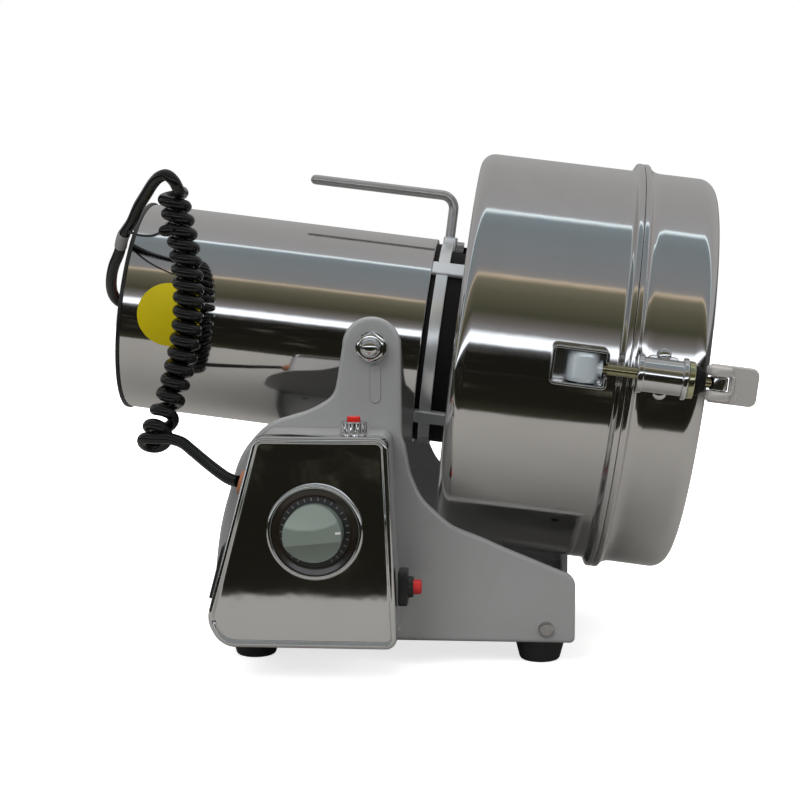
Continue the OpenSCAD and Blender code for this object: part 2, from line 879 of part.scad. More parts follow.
module lead_grommet() {
    color([0.72, 0.42, 0.22]) at_pivot() on_left_wall(grommet_drop, grommet_y)
    translate([-grommet_out - fit, 0, 0]) rotate([0, 90, 0]) difference() {
        union() {
            cylinder(r1 = grommet_lip_r - grommet_taper, r2 = grommet_lip_r, h = grommet_out);
            cylinder(r = grommet_r, h = grommet_out + box_t + grommet_in);
        }
        translate([0, 0, -cut])
            cylinder(r = lead_d / 2 + run, h = grommet_out + box_t + grommet_in + 2 * cut);
    }
}

// Polished tube round the motor
module motor_shell() {
    color([0.80, 0.80, 0.82]) on_axis(-shell_rear)
        tube(shell_r, shell_in_r, shell_rear + shell_front, 128);
}

// Thin black ring over the rear edge of the shell
module rear_trim_ring() {
    r_out = shell_r + trim_t;
    color([0.08, 0.08, 0.08]) on_axis(-shell_rear - trim_t)
    rotate_extrude($fn = 128) polygon([[shell_in_r - trim_in, 0], [r_out - trim_edge, 0],
        [r_out, trim_edge], [r_out, trim_w], [shell_r + fit, trim_w],
        [shell_r + fit, trim_t - fit], [shell_in_r - trim_in, trim_t - fit]]);
}

// Rear cap, slightly domed, with a ring of cooling slots
module motor_rear_cap() {
    r = shell_in_r - fit;
    hole_r = gland_r - gland_neck;
    color([0.78, 0.78, 0.80]) on_axis(-shell_rear) difference() {
        rotate_extrude($fn = 96) polygon([[hole_r, -cap_bulge],
            [r - 2 * cap_rim_w, -cap_bulge], [r - cap_rim_w, fit], [r, fit], [r, cap_lip],
            [r - cap_t, cap_lip], [r - cap_t, cap_t], [r - cap_rim_w - cap_step, cap_t],
            [r - 2 * cap_rim_w - cap_step, cap_t - cap_bulge], [hole_r, cap_t - cap_bulge]]);
        for (i = [1 : cap_slots]) rotate([0, 0, 360 * i / cap_slots])
            translate([cap_slot_share * r, -cap_slot_w / 2, -cap_bulge - cut])
            cube([cap_slot_len_share * r, cap_slot_w, cap_bulge + cap_t + 2 * cut]);
    }
}

// Gland that holds the lead in the rear cap
module lead_gland() {
    color([0.62, 0.42, 0.36]) on_axis(-shell_rear - cap_bulge) difference() {
        union() {
            translate([0, 0, -gland_len]) cylinder(r1 = gland_r - gland_taper,
                r2 = gland_r + gland_flare, h = gland_len - fit);
            translate([0, 0, -cut])
                cylinder(r = gland_r - gland_neck - fit, h = gland_in + cut);
        }
        translate([0, 0, -gland_len - cut])
            cylinder(r = lead_d / 2 + run, h = gland_len + gland_in + 2 * cut);
    }
}

// Four holes for the studs that join motor and bowl
module stud_holes(z, h) {
    for (a = lug_angles) rotate([0, 0, a]) translate([stud_place_r, 0, z])
        cylinder(r = stud_r + run, h = h, $fn = 24);
}

// Black gasket between the shell and the spacer ring
module front_gasket() {
    color([0.05, 0.05, 0.05]) on_axis(shell_front + fit) difference() {
        tube(shell_r - gasket_inset, lug_in_r, gasket_t - 2 * fit, 96);
        stud_holes(-cut, gasket_t + 2 * cut);
    }
}

// Spacer ring between motor and bowl. Four crossbars on its rim reach over the
// gaskets to the shell and the bowl, and a boss on top holds the lift handle.
module spacer_ring() {
    boss_len = handle_lug_top - lug_in_r;
    color([0.72, 0.73, 0.74]) on_axis(ring_u) difference() {
        union() {
            tube(shell_r - ring_inset, lug_in_r, ring_w, 96);
            for (a = lug_angles) rotate([0, 0, a])
                translate([(lug_low_r + lug_r) / 2, 0, -gasket_t + fit])
                round_bar(lug_r - lug_low_r, lug_w, bowl_u - shell_front - 2 * fit,
                    lug_round_r);
            translate([-lug_in_r - boss_len / 2, 0, 0])
                round_bar(boss_len, handle_lug_w, ring_w + handle_lug_over, edge_r);
        }
        stud_holes(-cut, ring_w + 2 * cut);
        translate([-handle_lug_top - cut, 0, handle_u - ring_u]) rotate([0, 90, 0])
            cylinder(r = handle_r + fit, h = handle_lug_top - shell_r + handle_sink + cut + pass);
        translate([-lock_place_r, 0, handle_u - ring_u])
            cylinder(r = lock_r + fit, h = ring_w + handle_lug_over);
    }
}

// Black gasket between the spacer ring and the bowl, with a notch in which a
// spanner reaches the lock screw of the handle
module bowl_gasket() {
    color([0.05, 0.05, 0.05]) on_axis(ring_u + ring_w + fit) difference() {
        tube(shell_r - gasket_inset, bell_hub_r + gasket_hub_gap, ring_gap - 2 * fit, 96);
        stud_holes(-cut, ring_gap + 2 * cut);
        translate([-shell_r, -lock_notch_front, -cut])
            cube([shell_r - lug_in_r + pass, lock_notch_front + lock_notch_back,
                ring_gap + 2 * cut]);
    }
}

// Cast end bell with the seat of the front bearing
module front_end_bell() {
    hub_len = front_bearing_u - bell_u + bearing_w + bell_over;
    color([0.35, 0.36, 0.37]) on_axis(bell_u) difference() {
        union() {
            cylinder(r = shell_in_r - fit, h = bell_t - fit, $fn = 96);
            cylinder(r1 = bell_hub_r + bell_flare, r2 = bell_hub_r, h = hub_len);
            for (a = [0 : 45 : 315]) rotate([0, 0, a]) translate([0, -bell_rib_w / 2, 0])
                cube([lug_in_r - bell_rib_w, bell_rib_w, bell_t + bell_rib_h]);
        }
        translate([0, 0, -cut]) cylinder(r = bearing_r - bell_step, h = hub_len + 2 * cut);
        translate([0, 0, front_bearing_u - bell_u]) cylinder(r = bearing_r + fit, h = hub_len);
        stud_holes(-cut, bell_t + 2 * cut);
        for (a = [22.5 : 45 : 350]) rotate([0, 0, a])
            translate([bell_vent_share * shell_in_r, 0, -cut])
            cylinder(r = bell_vent_r, h = bell_t + 2 * cut);
    }
}

// Rear bearing bracket with three arms and two brush holders
module rear_bearing_bracket() {
    holder_r = commutator_r + holder_in;
    hub_len = bearing_w + bracket_floor;
    color([0.30, 0.31, 0.32]) on_axis(bracket_u) difference() {
        union() {
            tube(shell_in_r - fit, shell_in_r - bracket_rim_w, bracket_rim_len, 96);
            cylinder(r = bell_hub_r, h = hub_len);
            for (a = [30 : 120 : 270]) rotate([0, 0, a])
                translate([bearing_r, -bracket_arm_w / 2, 0])
                cube([shell_in_r - bearing_r - holder_in, bracket_arm_w, bracket_arm_t]);
            for (a = [90, 270]) rotate([0, 0, a])
                translate([holder_r, -brush_w / 2 - holder_t, 0])
                cube([shell_in_r - holder_in - holder_r, brush_w + 2 * holder_t,
                    commutator_u - bracket_u + commutator_w - commutator_riser]);
        }
        translate([0, 0, -cut]) cylinder(r = bearing_r - bell_step, h = hub_len + 2 * cut);
        translate([0, 0, bracket_floor]) cylinder(r = bearing_r + fit, h = hub_len);
        for (a = [90, 270]) rotate([0, 0, a])
            translate([holder_r - cut, -brush_w / 2 - fit, commutator_u - bracket_u + brush_seat])
            cube([brush_len + brush_room, brush_w + 2 * fit, brush_t + 2 * fit]);
    }
}

// Two ball bearings with their shields
module shaft_bearings() {
    color([0.75, 0.75, 0.77])
    for (u = [front_bearing_u, bracket_u + bracket_floor]) on_axis(u) difference() {
        cylinder(r = bearing_r, h = bearing_w - fit);
        translate([0, 0, -cut]) cylinder(r = shaft_r + fit, h = bearing_w + 2 * cut);
        for (z = [-cut, bearing_w - shield_in]) translate([0, 0, z])
            tube(bearing_r - race_t, shaft_r + race_t, shield_in + cut, 48);
    }
}

// Laminated core with two poles
module stator_core() {
    color([0.45, 0.45, 0.47]) on_axis(core_u) linear_extrude(core_len) difference() {
        circle(r = core_r, $fn = 96);
        difference() {
            circle(r = yoke_in_r, $fn = 96);
            for (a = [0, 180]) rotate(a) polygon(sector_points(yoke_in_r + cut, 30));
            for (a = [0, 180]) rotate(a) polygon(sector_points(shoe_r, 58));
        }
        circle(r = pole_r, $fn = 72);
    }
}

function sector_points(r, half) = concat([[0, 0]], arc(0, 0, r, -half, half, 16));

// Two field coils, each wound round the neck of a pole
module stator_windings() {
    out_r = yoke_in_r - pass;
    color([0.72, 0.40, 0.18]) on_axis(core_u - coil_over)
    for (a = [0, 180]) rotate([0, 0, a]) difference() {
        linear_extrude(core_len + 2 * coil_over) difference() {
            polygon(sector_points(out_r, 56));
            circle(r = shoe_r + pass, $fn = 72);
        }
        translate([0, 0, coil_over - pass]) linear_extrude(core_len + 2 * pass)
            polygon(sector_points(out_r + cut, 31.5));
    }
}

module carbon_brushes() {
    color([0.12, 0.12, 0.12]) on_axis(commutator_u + brush_seat + fit)
    for (a = [90, 270]) rotate([0, 0, a])
        translate([commutator_r + run, -brush_w / 2, 0])
        cube([brush_len, brush_w, brush_t]);
}

// Four screws from the end bell, through gaskets and ring, into the bowl
module tie_screws() {
    l = bowl_u - bell_u + stud_in_bowl;
    color([0.55, 0.55, 0.57]) on_axis(bell_u)
    for (a = lug_angles) rotate([0, 0, a]) translate([stud_place_r, 0, 0]) {
        translate([0, 0, -2 * fit]) cylinder(r = stud_r, h = l + fit, $fn = 24);
        translate([0, 0, -stud_head_t - fit]) cylinder(r = stud_head_r, h = stud_head_t, $fn = 6);
    }
}

// Bowl: turned shell with a rounded back corner and a bead at its mouth
module bowl() {
    r = bowl_corner_r;
    ri = r - bowl_t;
    d = bowl_depth - fit;
    color([0.80, 0.80, 0.82]) on_axis(bowl_u) difference() {
        rotate_extrude($fn = 180) polygon(concat(
            [[seal_r + fit, 0], [bowl_r - r, 0]], arc(bowl_r - r, r, r, 270, 360, 8),
            [[bowl_r, d - bead_w]],
            arc(bead_r - bead_round_r, d - bead_w + bead_round_r, bead_round_r, 300, 360, 4),
            [[bead_r, d], [bowl_r - bowl_t, d]],
            arc(bowl_r - bowl_t - ri, bowl_back_t + ri, ri, 0, -90, 8),
            [[hub_r + hub_foot, bowl_back_t]],
            arc(hub_r, bowl_back_t + hub_in - hub_round_r, hub_round_r, 0, 90, 4),
            [[seal_r + fit, bowl_back_t + hub_in]]));
        stud_holes(-cut, stud_in_bowl + cut);
    }
}

// Shaft seal pressed into the hub of the bowl
module shaft_seal() {
    color([0.20, 0.20, 0.20])
    on_axis(bowl_u + bowl_back_t + hub_in - seal_w - seal_groove) difference() {
        cylinder(r = seal_r, h = seal_w);
        translate([0, 0, -cut]) cylinder(r = shaft_r + run, h = seal_w + 2 * cut);
        translate([0, 0, seal_w - seal_groove])
            tube(seal_r - seal_edge, shaft_r + seal_lip, seal_groove + cut, 48);
    }
}

// Open-fronted boxes welded to the sides of the bowl, one for each clamp
module bowl_brackets() {
    z0 = clamp_rise - bracket_h / 2;
    u0 = clamp_hinge_u - bracket_w / 2 - bracket_shift;
    color([0.78, 0.78, 0.80]) for (s = [1, -1]) clamp_side(s) difference() {
        translate([u0, -bracket_out, z0])
            cube([bracket_w, bracket_out - bowl_r + bracket_foot, bracket_h]);
        translate([u0 + bracket_t, -bracket_out - cut, z0 + bracket_t])
            cube([bracket_w - 2 * bracket_t, bracket_out - clamp_y + bracket_in + cut,
                bracket_h - 2 * bracket_t]);
        translate([u0 + bracket_w - bracket_t - cut, -bracket_out - cut,
            clamp_rise - clamp_rod_r - slot_side])
            cube([bracket_t + 2 * cut, bracket_out - clamp_y + clamp_rod_r + slot_over + cut,
                2 * (clamp_rod_r + slot_side)]);
        translate([clamp_hinge_u, -clamp_y, z0 - cut])
            cylinder(r = trunnion_r + run, h = bracket_h + 2 * cut);
        rotate([0, 90, 0]) cylinder(r = bowl_r + fit, h = seam_u, $fn = 180);
    }
}

// Rod handle over the motor; its lower end sits in the boss of the spacer ring
module lift_handle() {
    b = handle_bend_r;
    color([0.80, 0.80, 0.82]) head() translate([handle_u, 0, 0]) {
        translate([0, 0, shell_r - handle_sink])
            cylinder(r = handle_r, h = handle_rise - b - shell_r + handle_sink);
        translate([-b, 0, handle_rise - b]) rotate([90, 0, 0])
            rotate_extrude(angle = 90, $fn = 96) translate([b, 0])
            circle(r = handle_r, $fn = 32);
        translate([-b, 0, handle_rise]) rotate([0, -90, 0])
            cylinder(r = handle_r, h = handle_reach - b);
        translate([-handle_reach, 0, handle_rise]) sphere(r = handle_r);
    }
}

// Hexagon screw that clamps the handle in its boss
module handle_lock() {
    tip_u = handle_u + handle_r + 2 * fit;
    head_u = ring_u + ring_w + handle_lug_over + fit;
    color([0.30, 0.30, 0.31]) on_axis(tip_u) translate([-lock_place_r, 0, 0]) {
        cylinder(r = lock_r, h = head_u - tip_u + fit);
        translate([0, 0, head_u - tip_u]) cylinder(r = lock_head_r, h = lock_head_t, $fn = 6);
    }
}

// Bosses on the sides of the shell that carry the pivot bolts
module pivot_bosses() {
    y_out = frame_y - frame_t - pass;
    color([0.70, 0.70, 0.72]) for (s = [1, -1]) clamp_side(s) difference() {
        translate([0, -shell_r + boss_in, 0])
            to_front() cylinder(r = boss_r, h = y_out - shell_r + boss_in);
        translate([-2 * boss_r, 0, 0]) rotate([0, 90, 0])
            cylinder(r = shell_r + fit, h = 4 * boss_r, $fn = 128);
        translate([0, -shell_r + boss_in, 0]) to_front()
            cylinder(r = pivot_bolt_r + fit, h = y_out);
    }
}

module pivot_bolts() {
    color([0.75, 0.75, 0.77]) for (s = [1, -1]) clamp_side(s)
        translate([0, -shell_r - bolt_in, 0]) to_front() cylinder(r = pivot_bolt_r,
            h = frame_y - shell_r + washer_t + nut_t - bolt_short);
}

// Domed nuts with their washers
module dome_nuts() {
    top = washer_t + nut_t;
    color([0.85, 0.85, 0.86]) for (s = [1, -1]) clamp_side(s)
    translate([0, -frame_y - pass, 0]) to_front() difference() {
        union() {
            cylinder(r = washer_r, h = washer_t);
            intersection() {
                translate([0, 0, washer_t - fit])
                    cylinder(d = nut_flat / cos(30), h = nut_t, $fn = 6);
                cylinder(r1 = nut_flat / 2 + nut_slope, r2 = nut_flat / 2, h = top);
            }
            translate([0, 0, top - dome_sink]) sphere(r = dome_r);
        }
        translate([0, 0, -cut]) cylinder(r = pivot_bolt_r + run, h = top);
    }
}

// Shaft with a bevelled end
module rotor_shaft() {
    rear = bracket_u + shaft_inset;
    color([0.75, 0.75, 0.77]) on_axis(rear) {
        cylinder(r = shaft_r, h = shaft_end_u - rear);
        translate([0, 0, shaft_end_u - rear])
            cylinder(r1 = shaft_r, r2 = shaft_r - shaft_tip, h = shaft_tip);
    }
}

// Slotted armature core with its end turns
module armature() {
    top_r = armature_r - end_turn_w;
    low_r = armature_r - end_turn_in;
    color([0.50, 0.42, 0.34]) on_axis(core_u) difference() {
        union() {
            difference() {
                cylinder(r = armature_r, h = core_len, $fn = 72);
                for (i = [1 : armature_slots]) rotate([0, 0, 360 * i / armature_slots])
                    translate([armature_r - slot_in, 0, -cut])
                    cylinder(r = slot_r, h = core_len + 2 * cut, $fn = 18);
            }
            rotate_extrude() polygon([[shaft_r, -end_turn_w], [top_r, -end_turn_w],
                [low_r, end_turn_lap], [shaft_r, end_turn_lap]]);
            translate([0, 0, core_len]) rotate_extrude() polygon([[shaft_r, -end_turn_lap],
                [low_r, -end_turn_lap], [top_r, end_turn_w], [shaft_r, end_turn_w]]);
        }
        translate([0, 0, -end_turn_w - cut])
            cylinder(r = shaft_r + fit, h = core_len + 2 * (end_turn_w + cut));
    }
}

module commutator() {
    color([0.72, 0.45, 0.25]) on_axis(commutator_u) difference() {
        union() {
            cylinder(r = commutator_r, h = commutator_w);
            translate([0, 0, commutator_w - commutator_riser])
                cylinder(r = commutator_r + commutator_lip, h = commutator_riser);
        }
        translate([0, 0, -cut]) cylinder(r = shaft_r + fit, h = commutator_w + 2 * cut);
        for (i = [1 : commutator_bars]) rotate([0, 0, 360 * i / commutator_bars])
            translate([commutator_r - bar_deep, -bar_gap / 2, -cut])
            cube([bar_deep + commutator_lip + cut, bar_gap, commutator_w + 2 * cut]);
    }
}

// Cooling fan with curved blades
module cooling_fan() {
    r = shell_in_r - fan_gap;
    color([0.15, 0.15, 0.16]) on_axis(fan_u) difference() {
        union() {
            cylinder(r = r, h = fan_plate_t, $fn = 72);
            cylinder(r = shaft_r + fan_hub_t, h = fan_w);
            for (i = [1 : fan_blades]) rotate([0, 0, 360 * i / fan_blades])
                translate([r * fan_shares[0], -r * fan_shares[1], 0]) rotate([0, 0, 58])
                rotate_extrude(angle = 48, $fn = 64) translate([r * fan_arc_share, 0])
                square([fan_plate_t, fan_w]);
        }
        translate([0, 0, -cut]) cylinder(r = shaft_r + fit, h = fan_w + 2 * cut);
    }
}

// One wing of a blade: a bent strip trimmed to its outline, with a ground leading edge
module blade_wing(reach, bend) {
    w = blade_root_w / 2;
    rise = (reach - blade_bend_r) * tan(bend);
    lift = blade_t / cos(bend);
    difference() {
        intersection() {
            translate([0, w + cut, 0]) rotate([90, 0, 0]) linear_extrude(blade_root_w + 2 * cut)
                polygon([[0, 0], [blade_bend_r, 0], [reach + cut, rise], [reach + cut, rise + lift],
                    [blade_bend_r, blade_t], [0, blade_t]]);
            translate([0, 0, -cut]) linear_extrude(rise + lift + 2 * cut)
                polygon([[0, -w], [reach * blade_back_share, -w], [reach, w - blade_tip_w],
                    [reach, w * blade_nose_share], [reach * blade_cut_share, w], [0, w]]);
        }
        translate([blade_bend_r, w - blade_bevel, blade_t]) rotate([0, -bend, 0])
            rotate([-blade_grind, 0, 0])
            cube([reach, blade_bevel + blade_root_w, blade_root_w]);
    }
}

// Crossed blade on the shaft: hub with two opposite wings
module blade(u, reach, bend, turn) {
    on_axis(u) rotate([0, 0, turn]) difference() {
        union() {
            cylinder(r = blade_hub_r, h = blade_hub_w - 2 * fit);
            for (a = [0, 180]) rotate([0, 0, a]) translate([0, 0, blade_seat])
                blade_wing(reach, bend);
        }
        translate([0, 0, -cut]) cylinder(r = shaft_r + fit, h = blade_hub_w + 2 * cut);
    }
}

module lower_blade() {
    color([0.70, 0.70, 0.72]) blade(lower_u, lower_blade_r, lower_bend, 0);
}

module upper_blade() {
    color([0.70, 0.70, 0.72]) blade(upper_u, upper_blade_r, upper_bend, 90);
}

module blade_nut() {
    color([0.75, 0.75, 0.77]) on_axis(upper_u + blade_hub_w) difference() {
        union() {
            cylinder(r = blade_nut_r + nut_collar, h = nut_collar_t);
            intersection() {
                cylinder(r = blade_nut_r, h = blade_nut_w, $fn = 6);
                cylinder(r1 = blade_nut_r + nut_slope, r2 = blade_nut_r - nut_bevel,
                    h = blade_nut_w);
            }
        }
        translate([0, 0, -cut]) cylinder(r = shaft_r + fit, h = blade_nut_w + 2 * cut);
    }
}

// Lid: turned shell with a bead at its mouth and a slightly domed end
module lid() {
    r = lid_corner_r;
    ri = r - bowl_t;
    h = lid_end_u - lid_u;
    mid_r = bowl_r * lid_mid_share;
    color([0.80, 0.80, 0.82]) on_axis(lid_u) rotate_extrude($fn = 180) polygon(concat(
        [[bowl_r - bowl_t, 0], [bead_r, 0]],
        arc(bead_r - bead_round_r, bead_w - bead_round_r, bead_round_r, 0, 60, 4),
        [[bowl_r, bead_w], [bowl_r, h - r - lid_bulge]],
        arc(bowl_r - r, h - r - lid_bulge, r, 0, 84, 8),
        [[mid_r, h - lid_mid_drop], [0, h], [0, h - bowl_t],
         [mid_r, h - bowl_t - lid_mid_drop]],
        arc(bowl_r - r, h - r - lid_bulge, ri, 84, 0, 8)));
}

// Silicone ring in the mouth of the lid
module lid_gasket() {
    color([0.90, 0.90, 0.88]) on_axis(seam_u + run)
        tube(bead_r - seal_side, bowl_r - bowl_t, lid_gasket_t - run + fit, 128);
}

// Saddles riveted to the lid, in which the clamp sleeves lie
module latch_saddles() {
    z0 = clamp_rise - saddle_h / 2;
    w = saddle_end - saddle_u;
    step = w * saddle_step_share;
    color([0.70, 0.70, 0.72]) for (s = [1, -1]) clamp_side(s) {
        difference() {
            union() {
                intersection() {
                    translate([saddle_u, -bowl_r - saddle_t, z0])
                        cube([w, saddle_deep, saddle_h]);
                    rotate([0, 90, 0]) cylinder(r = bowl_r + saddle_t, h = lid_end_u, $fn = 180);
                }
                translate([saddle_u + step, -saddle_top, clamp_rise - saddle_block_h / 2])
                    cube([w - step, saddle_top - bowl_r + saddle_block_in, saddle_block_h]);
            }
            rotate([0, 90, 0]) cylinder(r = bowl_r + fit, h = lid_end_u, $fn = 180);
            translate([0, -clamp_y, clamp_rise]) rotate([0, 90, 0])
                cylinder(r = sleeve_r + pass, h = lid_end_u);
        }
        for (z = [-1, 1]) rivet((saddle_u + saddle_end) / 2, clamp_rise + z * saddle_h * rivet_share);
    }
}

module rivet(u, z) {
    a = asin(z / bowl_r);
    translate([u, 0, 0]) rotate([-a, 0, 0]) translate([0, -bowl_r - saddle_t - fit, 0])
        to_front() cylinder(r1 = rivet_r, r2 = rivet_r - rivet_taper, h = rivet_t);
}

// Trunnion block with its pins in the bracket
module clamp_block(s) {
    h = bracket_h - 2 * bracket_t - 2 * pass;
    color([0.85, 0.85, 0.86]) clamp_side(s) translate([clamp_hinge_u, -clamp_y, clamp_rise])
    difference() {
        union() {
            translate([0, 0, -h / 2]) cylinder(r = clamp_block_r, h = h);
            translate([0, 0, -bracket_h / 2]) cylinder(r = trunnion_r, h = bracket_h);
        }
        rotate([0, 90, 0]) cylinder(r = clamp_rod_r + fit, h = clamp_block_r + cut);
    }
}

// Rod with an eye for the pin of the cam lever
module clamp_rod(s) {
    l = lever_pin_u - clamp_hinge_u;
    pin_l = lever_w - 2 * lever_pin_inset;
    color([0.85, 0.85, 0.86]) clamp_side(s) translate([clamp_hinge_u, -clamp_y, clamp_rise]) {
        difference() {
            union() {
                translate([2 * fit, 0, 0]) rotate([0, 90, 0])
                    cylinder(r = clamp_rod_r, h = l - 2 * fit);
                translate([l, 0, -eye_h / 2]) cylinder(r = eye_r, h = eye_h);
            }
            translate([l, 0, -eye_h]) cylinder(r = lever_pin_r + fit, h = 2 * eye_h);
        }
        translate([l, 0, -pin_l / 2]) cylinder(r = lever_pin_r, h = pin_l);
    }
}

// Sleeve round the rod; its large collar holds the lid by the saddle
module clamp_sleeve(s) {
    l = sleeve_len;
    e = sleeve_edge;
    color([0.85, 0.85, 0.86]) clamp_side(s) translate([sleeve_u, -clamp_y, clamp_rise])
    rotate([0, 90, 0]) rotate_extrude($fn = 64) polygon([
        [clamp_rod_r + fit, 0], [small_collar_r - e, 0], [small_collar_r, e],
        [small_collar_r, collar_w], [sleeve_r, collar_w], [sleeve_r, l - collar_w],
        [collar_r, l - collar_w], [collar_r, l - e], [collar_r - e, l],
        [clamp_washer_r, l], [clamp_washer_r, l + clamp_washer_t],
        [clamp_rod_r + fit, l + clamp_washer_t]]);
}

// Cam lever: flat plate with a forked cam hub round the pin
module cam_lever(s) {
    reach = lever_tip_u - lever_pin_u;
    hub_w = lever_w - 2 * lever_pin_inset;
    color([0.85, 0.85, 0.86]) clamp_side(s) translate([lever_pin_u, -clamp_y, clamp_rise])
    difference() {
        union() {
            translate([0, 0, -hub_w / 2]) cylinder(r = lever_hub_r, h = hub_w);
            translate([reach / 2, lever_t / 2, 0]) to_front()
                round_bar(reach, lever_w, lever_t, lever_corner_r);
            translate([reach / 4, lever_t / 2, 0]) to_front()
                round_bar(reach / 2, lever_w, lever_t, edge_r);
        }
        translate([0, 0, -lever_w]) cylinder(r = lever_pin_r + run, h = 2 * lever_w);
        translate([-2 * lever_hub_r, -2 * lever_hub_r, -eye_h / 2 - pass])
            cube([2 * lever_hub_r + eye_r + pass, 4 * lever_hub_r, eye_h + 2 * pass]);
    }
}

module front_clamp_block() {
    clamp_block(1);
}

module front_clamp_rod() {
    clamp_rod(1);
}

module front_clamp_sleeve() {
    clamp_sleeve(1);
}

module front_cam_lever() {
    cam_lever(1);
}

module rear_clamp_block() {
    clamp_block(-1);
}

module rear_clamp_rod() {
    clamp_rod(-1);
}

module rear_clamp_sleeve() {
    clamp_sleeve(-1);
}

module rear_cam_lever() {
    cam_lever(-1);
}

// Route of the motor lead, counted from the pivot, with hand-chosen points.
// The curly part winds round a bowed axis between its two ends, and its lowest
// turns hang out of line with the rest.
curl_low = [-127, -80, -54];
curl_high = [-116, -79, 88];
curl_bow = 14;
curl_r = 6;
curl_rings = 8;
curl_end_share = 0.75;
curl_turns = curls + curl_end_share;
curl_n = curl_turns * curl_rings;
hook_turns = 3.5;
hook_fade = 3;
hook_shift = [-2, -2, 0];
hook_tilt = 5.5;
hook_grow = 0.4;
lead_out_share = 1.6;
riser_out_share = 1.5;
riser_rise = 0.6;
lead_sides = 8;
curl_sides = 6;

function unit(v) = v / norm(v);
function hook_part(t) = max(0, min(1, (hook_turns - t * curl_turns) / hook_fade));
function hook(t) = hook_part(t) * hook_part(t) * (3 - 2 * hook_part(t));
function curl_axis(t) = curl_low + (curl_high - curl_low) * t
    + [curl_bow * sin(180 * t), 0, 0] + hook(t) * hook_shift;
function curl_angle(t) = 270 - 360 * curl_turns * t;
function curl_point(t) = let (r = curl_r + hook_grow * hook(t), a = curl_angle(t))
    curl_axis(t) + [r * cos(a), r * sin(a), -hook_tilt * hook(t) * (1 + sin(a))];
curl_path = concat(
    [curl_point(0) + [lead_d, 0, 0]],
    [for (i = [0 : curl_n]) curl_point(i / curl_n)],
    [curl_point(1) - [0, lead_d, 0]]);

tail_points = [curl_point(0) + [lead_out_share * lead_d, 0, 0], [-110, -91, -56],
    [-103, -96, -60], [-92, -105, -66.5], [-82, -114, -71.5], [-76.5, -118, -73.5],
    [-72.4, -120.5, -74]];
riser_points = [curl_point(1) + [0, -riser_out_share * lead_d, riser_rise], [-112, -93, 94],
    [-116.5, -91, 97.5], [-121.5, -88, 96.5], [-126.5, -82, 93], [-132, -75, 87],
    [-138, -68, 80], [-144, -60, 71], [-151.5, -51, 62.5], [-156, -42, 53],
    [-162, -32, 44], [-166, -22, 35.5], [-168, -12, 28], [-167, -4.5, 22.5],
    [-163.5, -0.8, 20], [-158.4, 0, 19.4]];

// Tube swept along a list of points, its rings turned with the path
module sweep(p, d, sides) {
    n = len(p);
    t = [for (i = [0 : n - 1]) unit(p[min(i + 1, n - 1)] - p[max(i - 1, 0)])];
    f = frames(t, 0, unit(cross(t[0], [0.1, 0.2, 1])), []);
    rings = [for (i = [0 : n - 1], k = [0 : sides - 1])
        p[i] + d / 2 * (cos(360 * k / sides) * f[i] + sin(360 * k / sides) * cross(t[i], f[i]))];
    sides_faces = [for (i = [0 : n - 2], k = [0 : sides - 1]) each [
        [i * sides + k, (i + 1) * sides + (k + 1) % sides, i * sides + (k + 1) % sides],
        [i * sides + k, (i + 1) * sides + k, (i + 1) * sides + (k + 1) % sides]]];
    low = [for (k = [0 : sides - 1]) k];
    high = [for (k = [sides - 1 : -1 : 0]) (n - 1) * sides + k];
    polyhedron(rings, concat([low, high], sides_faces));
}

// Side directions of the rings, carried along the path without twist
function frames(t, i, v, done) = i == len(t) ? done :
    let (w = unit(v - (v * t[i]) * t[i])) frames(t, i + 1, w, concat(done, [w]));

// Points of a smooth curve through a route, with the given steps a stretch
function smooth(p, steps) = let (n = len(p)) concat(
    [for (i = [0 : n - 2], k = [0 : steps - 1]) let (
        a = p[max(i - 1, 0)], b = p[i], c = p[i + 1], e = p[min(i + 2, n - 1)],
        s = k / steps)
        0.5 * (2 * b + (c - a) * s + (2 * a - 5 * b + 4 * c - e) * s * s
            + (3 * b - a - 3 * c + e) * s * s * s)], [p[n - 1]]);

module motor_lead_tail() {
    color([0.05, 0.05, 0.05]) at_pivot()
        sweep(concat([curl_path[0]], smooth(tail_points, 2)), lead_d, lead_sides);
}

module motor_lead_curl() {
    color([0.05, 0.05, 0.05]) at_pivot() sweep(curl_path, lead_d, curl_sides);
}

module motor_lead_riser() {
    color([0.05, 0.05, 0.05]) at_pivot()
        sweep(concat([curl_path[curl_n + 2]], smooth(riser_points, 2)), lead_d, lead_sides);
}

// Least gap between the turns of the curly part, measured on its points
curl_gap = min([for (i = [0 : curl_n - curl_rings + 2], k = [-2 : 2])
    let (j = i + curl_rings + k) if (j <= curl_n)
    norm(curl_point(i / curl_n) - curl_point(j / curl_n))]) - lead_d;
echo("least gap of the curls", curl_gap);

front_side_frame();
rear_side_frame();
base_pan();
frame_screws();
rubber_feet();
control_box();
control_panel();
timer_body();
dial_bezel();
dial_plate();
timer_knob();
pilot_bezel();
pilot_lens();
breaker_body();
reset_button();
power_inlet();
lead_grommet();
motor_shell();
rear_trim_ring();
motor_rear_cap();
front_gasket();
spacer_ring();
bowl_gasket();
front_end_bell();
rear_bearing_bracket();
shaft_bearings();
stator_core();
stator_windings();
carbon_brushes();
tie_screws();
bowl();
shaft_seal();
bowl_brackets();
lift_handle();
handle_lock();
pivot_bosses();
pivot_bolts();
dome_nuts();
lead_gland();
rotor_shaft();
armature();
commutator();
cooling_fan();
lower_blade();
upper_blade();
blade_nut();
lid();
lid_gasket();
latch_saddles();
front_clamp_block();
front_clamp_rod();
front_clamp_sleeve();
front_cam_lever();
rear_clamp_block();
rear_clamp_rod();
rear_clamp_sleeve();
rear_cam_lever();
motor_lead_tail();
motor_lead_curl();
motor_lead_riser();
